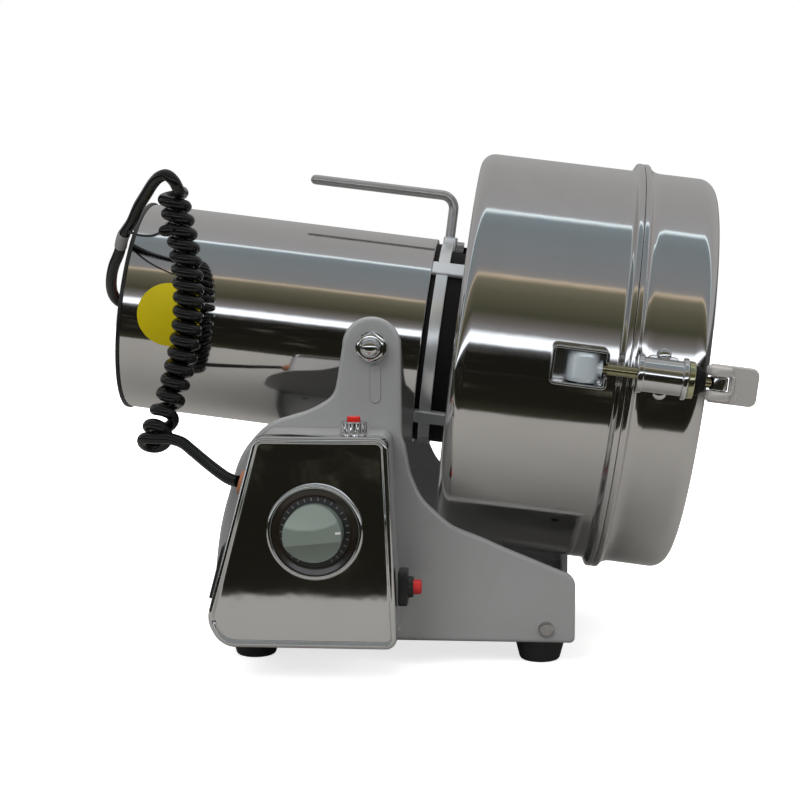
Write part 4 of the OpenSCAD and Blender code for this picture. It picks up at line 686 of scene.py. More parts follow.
# %% Rear trim
TRIM_FROM, _, TRIM_R = head_reach("rear_trim_ring")
TRIM_TO, TRIM_IN, TRIM_GAP = SHELL_FROM + 1.4, SHELL_R - 2.4, 0.05
make_piece("rear_trim", [spun(
    [(TRIM_TO, TRIM_R - 0.5), (TRIM_TO, TRIM_R), (TRIM_FROM, TRIM_R), (TRIM_FROM, TRIM_IN),
     (SHELL_FROM - TRIM_GAP, TRIM_IN), (SHELL_FROM - TRIM_GAP, SHELL_R + TRIM_GAP),
     (TRIM_TO, SHELL_R + TRIM_GAP), (TRIM_TO, TRIM_R - 0.5)],
    [0.4, 0.7, 0.4, 0, 0, 0], head_place, 160, 4)],
    "black_plastic", "head", "rear_trim_ring")

# %% [markdown]
# ## The bowl
# The bowl is deep-drawn or spun from sheet, with a soft corner at its back and a rolled
# bead round its mouth. One closed profile runs along the outside, round the bead, back
# along the inside and through the hub that holds the shaft seal. Turned about the axis
# it gives the whole bowl, and the bead gets the S-curve that a spun bead has.

# %% Bowl
BOWL_FROM, SEAM_U, BEAD_R = head_reach("bowl")
BOWL_R, BOWL_WALL, BOWL_BACK = 119.7, 2.0, 4.0
BOWL_CORNER, BEAD_W, BEAD_LIP = 8.5, 7.0, 0.5
HUB_BORE, HUB_R, HUB_END, HUB_LIP = 12.05, 20.0, 12.0, 2.0
BOWL_BEAD = [(7, 0), (6, 0.03), (5.2, 0.2), (4.2, 0.62), (3.3, 0.93), (2.4, 1),
             (0.5, 0.99), (0, 0.9)]
LID_BEAD = [(11, 0), (8.5, 0.06), (6.6, 0.2), (5.4, 0.33), (4.5, 0.52), (3.5, 0.86),
            (2.7, 0.98), (2, 1), (0.5, 0.99), (0, 0.9)]


def bead_curve(face, table, outward):
    """The outside of one half of the bead, from the wall to the mating face: a smooth
    curve through (distance from the face, share of the bead's height)."""
    away, share = smooth_route(table, 4).T
    return np.stack([face - outward * away, BOWL_R + (BEAD_R - BOWL_R) * share], 1)


bowl_inside, back_inside, hub_end = (BOWL_R - BOWL_WALL, BOWL_FROM + BOWL_BACK,
                                     BOWL_FROM + HUB_END)
bowl_profile = np.concatenate([
    rounded([(BOWL_FROM, HUB_BORE), (BOWL_FROM, BOWL_R), (SEAM_U - BEAD_W, BOWL_R)],
            [BOWL_CORNER], 12),
    bead_curve(SEAM_U, BOWL_BEAD, 1)[1:],
    rounded([(SEAM_U, BEAD_R - BEAD_LIP), (SEAM_U, bowl_inside), (back_inside, bowl_inside),
             (back_inside, HUB_R), (hub_end, HUB_R), (hub_end, HUB_BORE),
             (BOWL_FROM + HUB_LIP, HUB_BORE)], [0.8, 6.5, 4, 2, 0.4], 8)[1:]])
make_piece("bowl_shell", [turned(bowl_profile, head_place, 256, loop=True)],
           "polished_steel", "head", "bowl")

# %% [markdown]
# ## The lid
# The lid mirrors the bowl: a bead at its mouth, a straight wall, a round corner and an
# end that bulges by about a millimetre. The bulge is a shallow arc, because sheet that
# has been spun flat never stays flat.

# %% Lid
LID_FROM, LID_TO, _ = head_reach("lid")
LID_LIP, LID_RIM = SEAM_U + 0.25, BEAD_R - 1.6
LID_CORNER, LID_BULGE, LID_ROUND = 10.0, 1.0, 14.0


def lid_end(radius, face):
    """End of the lid: a shallow dome, highest by the bulge at the axis."""
    return face - LID_BULGE * (radius / BOWL_R) ** 2


r_out = np.linspace(BOWL_R - LID_CORNER, 0, 20)
r_in = r_out[::-1] * 0.98
end_out, end_in = LID_TO - LID_BULGE, LID_TO - LID_BULGE - BOWL_WALL
lid_profile = np.concatenate([
    bead_curve(LID_LIP, LID_BEAD, -1)[::-1],
    rounded([(LID_LIP + 12, BOWL_R), (end_out, BOWL_R), (end_out, BOWL_R - LID_ROUND)],
            [LID_CORNER], 12)[:-1],
    np.stack([lid_end(r_out, LID_TO), r_out], 1)[1:],
    np.stack([lid_end(r_in, LID_TO - BOWL_WALL), r_in], 1),
    rounded([(end_in, BOWL_R - LID_ROUND), (end_in, bowl_inside), (LID_FROM, bowl_inside),
             (LID_FROM, LID_RIM), (LID_LIP, LID_RIM)], [8, 0.6, 0.2], 8)[1:]])
make_piece("lid_shell", [turned(lid_profile, head_place, 256, loop=True)],
           "polished_steel", "lid", "lid")

# %% [markdown]
# ## Plates and boxes with broken edges
# Sheet and bar never end in a knife edge, and it is the small round at the edge that
# catches the light. A plate here is an outline, drawn in and raised row by row: the rows
# follow a quarter circle at each rim, and a flat face closes the plate at both ends. A
# Bevel modifier could do this too, but the rows can also sink a cup or raise a rim.

# %% Outlines drawn in
LEAST_R, FACE_RIM = 0.03, 1.5


def inset(outline, by):
    """The outline drawn in: each corner moves by (m + n) / (1 + m.n) times the distance,
    where m and n are the inward normals of its two sides."""
    before = unit(outline - np.roll(outline, 1, 0))
    after = unit(np.roll(outline, -1, 0) - outline)
    m, n = (np.stack([-side[:, 1], side[:, 0]], 1) for side in (before, after))
    return outline + by * (m + n) / (1 + (m * n).sum(1))[:, None]


def cornered(corners, radii, steps=6):
    """A polygon with rounded corners, counted to the left, as a function of how far it
    is drawn in: an outer corner's radius shrinks by the distance, and an inner corner's
    grows by it."""
    corners, radii = np.array(corners, float), np.array(radii, float)
    before, after = corners - np.roll(corners, 1, 0), np.roll(corners, -1, 0) - corners
    turn = np.sign(before[:, 0] * after[:, 1] - before[:, 1] * after[:, 0])

    def ring_at(by):
        """The outline drawn in, from the middle of its last side and round to it."""
        moved = inset(corners, by)
        middle = (moved[:1] + moved[-1:]) / 2
        return rounded(np.concatenate([middle, moved, middle]),
                       np.maximum(radii - turn * by, LEAST_R), steps)[:-1]
    return ring_at


# %% Plates and bars
def edged(low, high, edge, back=None, steps=5):
    """Rows of (inset, height) for a plate from low to high. Its edge is round at the top
    and, with its own radius where one is given, at the back."""
    back = edge if back is None else back
    a = np.linspace(0, np.pi / 2, steps + 1)
    foot = np.stack([back * (1 - np.sin(a)), low + back * (1 - np.cos(a))], 1)
    crown = np.stack([edge * (1 - np.cos(a)), high - edge * (1 - np.sin(a))], 1)
    return np.concatenate([[[FACE_RIM * back, low]], foot, crown,
                           [[FACE_RIM * edge, high]]])


def plate(ring_at, rows, place):
    """Skins of a plate: a ring for each row and a flat face at both ends."""
    rings = np.stack([ring_at(by) for by, _ in rows])
    points = place(rings[..., 0], rings[..., 1],
                   np.array([height for _, height in rows])[:, None])
    face = np.arange(points.shape[1])[None]
    return [skin(points), (points[0], face), (points[-1], face)]


def bar(x, y, h, corner, edge, place):
    """Skins of a box between pairs of x, y and h, its upright corners rounded."""
    corners = [(x[0], y[0]), (x[1], y[0]), (x[1], y[1]), (x[0], y[1])]
    return plate(cornered(corners, [corner] * 4, 4), edged(*h, edge), place)


def to_front(x, z, out):
    """A stand place whose third number is the distance towards the near side."""
    return stand_place(x, -np.asarray(out), z)


# %% [markdown]
# ## The stand
# Two steel side frames carry the pivot in their ears. Their edge falls in a long S from
# each ear, and the low front of the stand leaves room for the bowl. The outline goes
# through listed points, and the smooth curve between them is the one of the lead.

# %% Side frames
EAR_R, STAND_LOW = 17.0, 172.0
FRAME_IN, FRAME_OUT, FRAME_EDGE, FRAME_BACK = 84.0, 87.0, 2.0, 0.5
RIB_X, RIB_Z, RIB_SUNK, RIB_UP = (-0.9, 5.5), (-33, -10.5), 0.6, 0.7
LEFT_EDGE = [(-17, 0), (-18.6, -10), (-20, -19), (-21.6, -25.8), (-24.6, -30.1),
             (-29.2, -33.2), (-37.3, -37.3), (-46.6, -40.2), (-55.4, -43), (-61.8, -46.8),
             (-68.2, -53), (-74, -60.5), (-78.1, -68.6), (-81, -77.4), (-83.3, -85.7),
             (-86.3, -96.1), (-89.2, -110.1), (-91.6, -130), (-93, -150.8)]
RIGHT_EDGE = [(107.7, -128.7), (93.7, -123), (77.4, -116.4), (62.9, -110.1), (47.1, -103.7),
              (36.3, -94.9), (29.5, -87.7), (25.3, -79.6), (22.4, -71.4), (19.8, -57.6),
              (17.9, -50.7), (17.5, -32), (17.2, -16), (17, 0)]
ear = np.radians(np.linspace(0, 180, 25))
stand_outline = np.concatenate([
    np.stack([EAR_R * np.cos(ear), EAR_R * np.sin(ear)], 1)[:-1],
    smooth_route(LEFT_EDGE, 4),
    rounded([(-93, -152), (-93, -STAND_LOW), (118, -STAND_LOW), (118, -132.5),
             (107.7, -128.7)], [3, 3, 9], 8)[1:-1],
    smooth_route(RIGHT_EDGE, 4)[:-1]])


def frame_skins(side):
    """The frame, and the rib that is pressed out of it below the pivot."""
    def place(x, z, out):
        """A stand place counted outwards on this side."""
        return stand_place(x, side * out, z)
    return (plate(lambda by: inset(stand_outline, by),
                  edged(FRAME_IN, FRAME_OUT, FRAME_EDGE, FRAME_BACK), place)
            + bar(RIB_X, RIB_Z, (FRAME_OUT - RIB_SUNK, FRAME_OUT + RIB_UP), 3.0, 0.8,
                  place))


for side, name in ((-1, "front"), (1, "rear")):
    make_piece(name + "_frame", frame_skins(side), "silver_paint", "base",
               name + "_side_frame")

# %% [markdown]
# Four rubber feet stand under the pan. They narrow to the floor. A cone with a bevel
# would do from afar; a turned profile gives each corner a radius of its own, and a soft
# round at the floor.

# %% Feet
FLOOR, FOOT_TOP = -186.0, -172.05
FOOT_X, FOOT_Y = (-71, 98), (-67, 67)


def foot(x, y):
    """A foot, turned about a line that stands on the floor at x, y."""
    return spun([(FLOOR, 0), (FLOOR, 11.5), (-175, 14.4), (FOOT_TOP, 14.4), (FOOT_TOP, 0)],
                [2.6, 3, 0.8], lambda z, a, b: stand_place(x + a, y + b, z), 48)


make_piece("feet", [foot(x, y) for x in FOOT_X for y in FOOT_Y],
           "black_rubber", "base", "rubber_feet")

# %% [markdown]
# ## The control box
# The box is folded from sheet and painted like the stand. Its front is a polished cover,
# pressed with a raised rim that turns down over the box. The rim is what draws the bright
# line round the cover, so its section follows a quarter circle outside and a half wave of
# a cosine inside.

# %% Box and cover
BOX_CORNERS = np.array([(-59.8, -47.1), (-86.6, -149), (-79, -163), (17.5, -163),
                        (11.9, -47.1)])
BOX_RADII = np.array([5.5, 15, 13, 5, 5.5])
BOX_BACK, BOX_FRONT, BOX_EDGE = FRAME_OUT + 0.05, 138.0, 0.8
COVER_LAP, COVER_BACK, COVER_FACE = 1.2, 129.05, 140.05
RIM_R, RIM_FOOT, RIM_RISE, RIM_IN, RIM_FALL = 2.1, 139.3, 2.05, 2.0, 0.65
COVER_HEM, FLAT_IN = [(1.15, 0), (0.2, 0), (0, 0.25)], 4.8
make_piece("box_body", plate(cornered(BOX_CORNERS, BOX_RADII, 8),
                             edged(BOX_BACK, BOX_FRONT, BOX_EDGE), to_front),
           "silver_paint", "base", "control_box")


def cover_rows():
    """Section of the cover, from its rear edge over the rim to the flat face."""
    a = np.linspace(0, np.pi / 2, 7)
    rim = np.stack([RIM_R * (1 - np.cos(a)), RIM_FOOT + RIM_RISE * np.sin(a)], 1)
    t = np.linspace(0, 1, 9)[1:]
    wave = np.stack([RIM_R + RIM_IN * t,
                     COVER_FACE + RIM_FALL * (1 + np.cos(np.pi * t))], 1)
    hem = [[by, COVER_BACK + up] for by, up in COVER_HEM]
    return np.concatenate([hem, rim, wave, [[FLAT_IN, COVER_FACE]]])


cover_ring = cornered(inset(BOX_CORNERS, -COVER_LAP), BOX_RADII + COVER_LAP, 8)
make_piece("cover", plate(cover_ring, cover_rows(), to_front), "panel_steel", "base",
           "control_panel")

# %% [markdown]
# ## The timer's dial and knob
# A thin chromed ring frames a dark dish, in which the black dial lies. The knob is a disc
# with a bar left standing between two scoops. The upper scoop is part of a large sphere,
# so its edge on the bar is a curve; the lower one is part of a cylinder, so its edge is
# straight. The height of the knob is the lower of the flat top and the two scoops.

# %% Dial
DIAL_X, DIAL_Z = -26.7, -98.5
DISH_R, DIAL_R = 24.05, 19.8
MARK_R, MARK_HALF, MARK_H, MARK_STEP = (17.4, 19.2), 0.3, (1.1, 1.36), 12


def on_dial(out, a, b):
    """A place on the dial: out in front of the cover, a and b across it."""
    return to_front(DIAL_X + a, DIAL_Z + b, COVER_FACE + out)


make_piece("dial_ring", [spun([(1, 24.1), (0, 24.1), (0, 26.8), (3.4, 26.7), (3.4, 24.4),
                               (2.2, 24.1), (1, 24.1)], [0.1, 0.3, 1.5, 0.9, 0.3],
                              on_dial, 160, 6)],
           "bright_chrome", "base", "dial_bezel")
make_piece("dial_dish", [turned([(0.05, 0), (0.05, DISH_R), (2.0, DISH_R), (1.9, 23.4),
                                 (1.4, 21.6), (1.15, 19.8), (1.1, 0)], on_dial, 96)],
           "dish_plastic", "base", slot="black_plastic")
make_piece("dial_face", [turned([(0.6, 0), (0.6, DIAL_R), (1.2, DIAL_R),
                                 (1.3, DIAL_R - 0.2), (1.3, 0)], on_dial, 96)],
           "black_plastic", "base", "dial_plate")


def turned_dial(angle, lift=0.0):
    """Places on the dial counted along a line at an angle, across it, and up."""
    c, s = np.cos(angle), np.sin(angle)
    return lambda x, y, h: on_dial(lift + h, x * c - y * s, x * s + y * c)


make_piece("dial_marks", [part for degrees in range(-60, 241, MARK_STEP) for part in
                          bar(MARK_R, (-MARK_HALF, MARK_HALF), MARK_H, 0.1, 0.04,
                              turned_dial(np.radians(degrees)))],
           "dial_print", "base", slot="white_silicone")

# %% Knob
KNOB_R, KNOB_TOP, KNOB_BASE, KNOB_RIM, KNOB_FOOT = 16.2, 14.9, 1.65, 0.6, 0.2
KNOB_TURN = np.radians(6.0)
SCOOP_R, SCOOP_AWAY, SCOOP_UP, NO_SCOOP = 50.0, 41.2, 48.3, 40.0
SOFT_UPPER, SOFT_LOWER = 0.30, 0.10
POINTER = (13.0, 16.0), (0.1, 1.3), (14.0, 14.98)


def knob_height(a, b):
    """Height of the knob at a, b. The upper scoop is z = c - sqrt(R2 - a2 - (b - d)2),
    with a along the bar and b across it, and the lower one has no a2. A soft minimum
    joins them to the flat top."""
    c, s = np.cos(KNOB_TURN), np.sin(KNOB_TURN)
    along, across = a * c + b * s, b * c - a * s
    inside = SCOOP_R ** 2 - along ** 2 * (across > 0) - (SCOOP_AWAY - np.abs(across)) ** 2
    scoop = np.where(inside > 0, SCOOP_UP - np.sqrt(np.maximum(inside, 0)), NO_SCOOP)
    soft = np.where(across > 0, SOFT_UPPER, SOFT_LOWER)
    return KNOB_TOP - soft * np.log(np.exp((KNOB_TOP - scoop) / soft) + 1)


def knob_skin(top_rings=48):
    """Rings of the knob: over its top, round the rim and down its side."""
    angle = full_turn(180)[None]
    bend = np.linspace(0.3, np.pi / 2, 5)
    inner = KNOB_R - KNOB_RIM
    radius = np.concatenate([np.linspace(0, inner, top_rings),
                             inner + KNOB_RIM * np.sin(bend),
                             [KNOB_R, KNOB_R - KNOB_FOOT, 0]])[:, None]
    height = knob_height(radius * np.cos(angle), radius * np.sin(angle))
    rim = knob_height(inner * np.cos(angle), inner * np.sin(angle))
    height[top_rings:-3] = rim - KNOB_RIM * (1 - np.cos(bend))[:, None]
    height[-3:] = np.array([KNOB_FOOT, 0, 0])[:, None]
    return skin(on_dial(KNOB_BASE + height, radius * np.cos(angle), radius * np.sin(angle)))


make_piece("knob", [knob_skin()], "knob_plastic", "knob", "timer_knob")
make_piece("knob_pointer", bar(*POINTER, 0.2, 0.08, turned_dial(KNOB_TURN, KNOB_BASE)),
           "white_silicone", "knob", slot="knob_plastic")

# %% [markdown]
# ## Lamp, breaker, inlet and grommet
# A lamp stands on top of the box, its chromed collar milled with ribs. They could be cut
# with booleans, but a radius that follows a cosine of the angle gives them in one clean
# grid. The breaker sits in the right wall with a red button, and the power inlet and the
# lead's brown grommet sit in the sloped left wall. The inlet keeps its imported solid.

# %% Lamp
LAMP_X, LAMP_Y, LAMP_FOOT = -7.4, -117.0, -47.05
LAMP_RIBS, RIB_DEEP = 11, 1.0


def ribbed(profile, ribs, deep, place, turns):
    """A turned skin whose radius falls by deep * (1 - cos(ribs * angle)) / 2, times the
    share that the profile gives."""
    angle = full_turn(turns)
    along, radius, share = np.array(profile, float).T[..., None]
    radius = radius - share * deep * (1 - np.cos(ribs * angle)) / 2
    return skin(place(along, radius * np.cos(angle), radius * np.sin(angle)))


def on_lamp(up, a, b):
    """A place on the lamp: up above the box's top face, a and b across it."""
    return stand_place(LAMP_X + a, LAMP_Y + b, LAMP_FOOT + up)


make_piece("lamp_collar", [ribbed(
    [(0, 0, 0), (0, 7.4, 0), (0.3, 7.6, 0), (1.1, 7.6, 0), (1.3, 7.5, 1), (6.6, 7.5, 1),
     (7.0, 7.0, 0), (7.4, 6.4, 0), (7.4, 4.4, 0), (4.6, 4.3, 0), (4.6, 0, 0)],
    LAMP_RIBS, RIB_DEEP, on_lamp, 220)],
    "bright_chrome", "base", "pilot_bezel")
make_piece("lamp_lens", [spun([(4.7, 0), (4.7, 3.95), (10.2, 3.8), (10.3, 0)], [0, 0.9],
                              on_lamp, 64, 6)],
           "red_lens", "base", "pilot_lens")

# %% Breaker and its button
BREAKER_X, BREAKER_Y, BREAKER_Z = 17.8, -117.0, -133.5


def on_breaker(out, a, b):
    """A place on the breaker: out of the right wall, a to the back and b up."""
    return stand_place(BREAKER_X + out, BREAKER_Y + a, BREAKER_Z + b)


make_piece("breaker", bar((-7.5, 7.5), (-10, 10), (0, 5.4), 2.2, 0.9,
                          lambda a, b, out: on_breaker(out, a, b)) + [
    spun([(5, 0), (5, 6.2), (8.5, 6.0), (8.5, 4.6), (5.5, 4.6), (5.5, 0)],
         [0, 0.7, 0.3, 0], on_breaker, 48)],
    "black_plastic", "base", "breaker_body")
make_piece("button", [spun([(8.2, 0), (8.2, 4.3), (13.0, 4.1), (13.2, 0)], [0, 1.1],
                           on_breaker, 48, 6)],
           "red_plastic", "button", "reset_button")

# %% Grommet on the sloped wall
WALL_DOWN = unit(np.array([-27.2, -103.5]))
WALL_OUT = np.array([WALL_DOWN[1], -WALL_DOWN[0]])
GROMMET_DOWN, GROMMET_Y, GROMMET_BORE = 29.2, -120.5, 3.45


def on_wall(down, y, out):
    """A place on the left wall: down along it from its top, y, and out of it."""
    x, z = (top + np.asarray(down) * fall + np.asarray(out) * push
            for top, fall, push in zip(BOX_CORNERS[0], WALL_DOWN, WALL_OUT))
    return stand_place(x, y, z)


make_piece("grommet", [spun(
    [(1, GROMMET_BORE), (-1.6, GROMMET_BORE), (-1.6, 6.4), (0.05, 6.6), (0.05, 8.2),
     (4.4, 6.8), (4.4, GROMMET_BORE), (1, GROMMET_BORE)], [0.2, 0.2, 0.2, 0.3, 1.0, 0.5],
    lambda out, a, b: on_wall(GROMMET_DOWN + a, GROMMET_Y + b, out), 48)],
    "brown_rubber", "base", "lead_grommet")

# %% [markdown]
# ## Between motor and bowl
# A machined ring spaces the bowl from the motor, with a black gasket on either side. The
# gaskets' near-black, dull finish also paints the shade of the gaps beside the ring. Four
# crossbars on its rim bridge the gaskets, and make the T that shows in the gap. A boss on
# top holds the lift handle, a bent rod of bright steel. A boolean could join bars and
# ring; here they sink into it and share its mesh, so their edges stay round.

# %% Ring and crossbars
RING_FROM, RING_TO = SHELL_TO + 3, SHELL_TO + 10
RING_R, RING_IN, RING_START = SHELL_R - 0.6, SHELL_R - 13.6, 33.0
SEAL_R, SEAL_GAP = SHELL_R - 2.6, 0.05
CROSSBAR_ANGLES, CROSSBAR_LONG = (41, 131, 221, 311), 20.45


def on_rim(degrees):
    """Places on the ring's rim: across it, along the head axis, and out of it, for an
    angle counted from straight below towards the back."""
    a = np.radians(degrees)
    spoke = -np.cos(a) * RISE + np.sin(a) * BACK
    across = np.sin(a) * RISE + np.cos(a) * BACK
    return lambda x, u, out: PIVOT + MM * (x[..., None] * across + u[..., None] * AXIS
                                           + out[..., None] * spoke)


ring = [spun([(RING_START, RING_IN), (RING_FROM, RING_IN), (RING_FROM, RING_R),
              (RING_TO, RING_R), (RING_TO, RING_IN), (RING_START, RING_IN)],
             [0.3, 0.5, 0.5, 0.3], head_place, 192, 4)]
for degrees in CROSSBAR_ANGLES:
    ring += bar((-5, 5), (SHELL_TO + SEAL_GAP, SHELL_TO + CROSSBAR_LONG),
                (RING_R - 1.9, SHELL_R + 0.4), 0.9, 0.7, on_rim(degrees))
ring += bar((-6, 6), (RING_FROM, RING_TO + 1.4), (RING_IN, SHELL_R + 2.4), 1.6, 0.8,
            on_rim(180))
make_piece("ring", ring, "cast_aluminium", "head", "spacer_ring")
# Near gasket: black rubber whose near-black finish also paints the shade of the gap by the ring.
make_piece("near_gasket", [spun(
    [(SHELL_TO + 1, RING_IN), (SHELL_TO + SEAL_GAP, RING_IN), (SHELL_TO + SEAL_GAP, SEAL_R),
     (RING_FROM - SEAL_GAP, SEAL_R), (RING_FROM - SEAL_GAP, RING_IN),
     (SHELL_TO + 1, RING_IN)],
    [0.1, 0.6, 0.6, 0.1], head_place, 160, 4)],
    "black_gasket_and_gap_shade", "head", "front_gasket", slot="black_rubber")

# %% Lift handle
HANDLE_U, HANDLE_R, HANDLE_TOP, BEND_R = SHELL_TO + 6.7, 3.0, 91.0, 8.0
HANDLE_FOOT, HANDLE_LONG = SHELL_R - 5.9, 90.0


def handle_path():
    """Up from the boss, round the bend, and back over the motor to a round end."""
    a = np.linspace(0, np.pi / 2, 13)[:, None]
    up = [[HANDLE_U, HANDLE_FOOT], [HANDLE_U, SHELL_R + 2],
          [HANDLE_U, HANDLE_TOP - BEND_R - 1]]
    bend = [HANDLE_U, HANDLE_TOP] + BEND_R * np.hstack([np.cos(a) - 1, np.sin(a) - 1])
    turn = np.linspace(0, 1.5, 8)
    back = np.stack([HANDLE_U - HANDLE_LONG + HANDLE_R * (1 - np.sin(turn)),
                     np.full(8, HANDLE_TOP)], 1)
    u, n = np.concatenate([up, bend, [[HANDLE_U - 30, HANDLE_TOP]], back]).T
    radius = np.full(len(u), HANDLE_R)
    radius[-8:] = HANDLE_R * np.cos(turn)
    return head_place(u, 0 * u, n), radius * MM


make_piece("handle_rod", [tube(*handle_path(), 32)], "handle_steel", "head", "lift_handle",
           slot="bright_chrome")

# %% [markdown]
# ## The pivot's dome nuts
# A washer and a hexagon nut with a domed cap close each pivot bolt. A hexagonal prism
# could be cut with a cone. Here the radius is the smaller of the two: the hexagon's, which
# is a / cos(angle from the middle of the nearest flat), and that of the cone.

# %% Dome nuts
NUT_FLAT, NUT_GAP, SIXTH = 7.5, 0.4, np.pi / 3
DOME_FOOT, DOME_H, DOME_R = 7.0, 5.6, 6.2
NUT_CONE = [(1.4, 0), (1.4, 8.0), (1.8, 8.5), (2.2, 9.0), (6.9, 9.0), (7.5, 8.4),
            (8.0, 7.7), (8.4, 6.9), (8.5, 6.5), (8.5, 0)]


def nut_skins(side):
    """Washer, hexagon and dome on one side of the stand."""
    def place(out, a, b):
        """Out of the side frame, a along the head axis and b square to it."""
        return head_place(a, side * (FRAME_OUT + NUT_GAP + out), b)
    washer = spun([(0, 0), (0, 9.2), (1.5, 9.2), (1.5, 0)], [0.2, 0.6], place, 64, 4)
    angle = full_turn(144)[None]
    flat = NUT_FLAT / np.cos((angle + SIXTH / 2) % SIXTH - SIXTH / 2)
    out, cone = np.array(NUT_CONE).T[..., None]
    radius = np.minimum(flat, cone)
    hexagon = skin(place(out, radius * np.cos(angle), radius * np.sin(angle)))
    lift = np.linspace(0, np.pi / 2, 12)
    dome = np.stack([DOME_FOOT + DOME_H * np.sin(lift), DOME_R * np.cos(lift)], 1)
    return [washer, hexagon, turned(np.concatenate([[[DOME_FOOT, 0]], dome]), place, 64)]


make_piece("pivot_nuts", nut_skins(-1) + nut_skins(1), "bright_chrome", "head", "dome_nuts")

# %% [markdown]
# ## The clamps
# Two clamps hold the lid. Each is a rod on a trunnion block in an open bracket, a sleeve
# that lies in a saddle on the lid, and a cam lever that pulls the sleeve tight. The near
# and the far clamp are mirror images, so one function makes both: the side is the sign
# of y.

# %% Clamp places and sizes
SEAM = 145.0
HINGE_U, CLAMP_Y, CLAMP_N, PIN_U = SEAM - 26, 136.0, 8.0, SEAM + 47.5


def on_clamp(side, u0=0.0):
    """Places on a clamp: along the head axis from u0, up, and out from the axis."""
    return lambda u, n, out: head_place(u0 + np.asarray(u), side * np.asarray(out),
                                        CLAMP_N + np.asarray(n))


def along_rod(side, u0=0.0):
    """Places for pieces turned about the clamp's rod, counted along it from u0."""
    return lambda u, a, b: head_place(u0 + u, side * CLAMP_Y + a, CLAMP_N + b)


def upright(side, u0):
    """Places for pieces turned about a line square to the rod, at u0."""
    return lambda n, a, b: head_place(u0 + a, side * CLAMP_Y + b, CLAMP_N + n)


# %% [markdown]
# The bracket is a strip bent to a C round the block, open to the viewer, with a slot for
# the rod in its near end. A floor closes it towards the bowl. A modifier could bend a flat
# strip. Here the strip's section is the outline of a plate, so that every bend has its own
# radius and the edges are broken like those of the other plates.

# %% Brackets
BRACKET_LEFT, BRACKET_RIGHT, BRACKET_N = HINGE_U - 17.5, HINGE_U + 13.5, 10.8
BRACKET_WALL, SLOT = 1.8, 3.9
BRACKET_LOW, BRACKET_HIGH, FLOOR_HIGH, FILLER = 117.75, 146.0, 123.2, (118.5, 131.6)
OUTER_BENDS, INNER_BENDS = [0.5, 2.6, 3.2, 3.2, 2.6, 0.5], [0.5, 0.8, 1.2, 1.2, 0.8, 0.5]


def bracket_skins(side):
    """The bent strip, the floor and the filler behind the slot."""
    left, right, n, wall = BRACKET_LEFT, BRACKET_RIGHT, BRACKET_N, BRACKET_WALL
    outside = [(right, SLOT), (right, n), (left, n),
               (left, -n), (right, -n), (right, -SLOT)]
    inside = [(right - wall, -SLOT), (right - wall, wall - n), (left + wall, wall - n),
              (left + wall, n - wall), (right - wall, n - wall), (right - wall, SLOT)]
    strip = cornered(outside + inside, OUTER_BENDS + INNER_BENDS, 5)
    place = on_clamp(side)
    return (plate(strip, edged(BRACKET_LOW, BRACKET_HIGH, 0.6), place)
            + bar((left + 1, right - 1), (1 - n, n - 1), (BRACKET_LOW, FLOOR_HIGH), 1, 0.3,
                  place)
            + bar((right - wall, right), (-SLOT - 0.5, SLOT + 0.5), FILLER, 0.5, 0.3,
                  place))


make_piece("clamp_brackets", bracket_skins(-1) + bracket_skins(1), "bracket_steel", "head",
           "bowl_brackets")

# %% [markdown]
# The block is a short upright barrel that turns on two pins, and the rod screws into its
# neck. The sleeve has a collar at each end, and the stack ends in a brassy washer and a
# black ring that paints the shade of the gap before the lever. The real ones come from a
# lathe, so each is a turned profile too. The profiles are counted from the hinge, from
# the lever's pin, or from the sleeve's left end.

# %% Blocks, rods and sleeves
ROD_R, ROD_BORE, SLEEVE_U = 3.0, 3.05, SEAM + 3.3
BARREL = [(-8.4, 0), (-8.4, 8.6), (-6, 9.0), (6, 9.0), (8.4, 8.6), (8.4, 0)]
PINS = [(-10.8, 0), (-10.8, 2.9), (10.8, 2.9), (10.8, 0)]
NECK = [(6, 0), (6, 5.6), (8.6, 4.6), (10.2, 5.0), (10.6, 5.0), (10.6, 0)]
EYE = [(-3.5, 0), (-3.5, 5), (3.5, 5), (3.5, 0)]
EYE_PIN = [(-9.5, 0), (-9.5, 2.45), (9.5, 2.45), (9.5, 0)]
SLEEVE = [(5, ROD_BORE), (0, ROD_BORE), (0, 10.4), (3.2, 10.4), (3.4, 9.5), (24.2, 9.5),
          (24.4, 11.4), (27.2, 11.4), (27.2, ROD_BORE), (5, ROD_BORE)]
WASHER = [(28, ROD_BORE), (27.3, ROD_BORE), (27.3, 10.3), (30.9, 10.0), (30.9, ROD_BORE),
          (28, ROD_BORE)]
# Profile of a black ring that paints the shade of the gap between the brassy washer and the lever.
GAP_SHADE_WASHER = [(32, ROD_BORE), (31, ROD_BORE), (31, 8.2), (33.4, 8.0), (35.6, 5.6),
                (36.8, 5.4), (36.8, ROD_BORE), (32, ROD_BORE)]


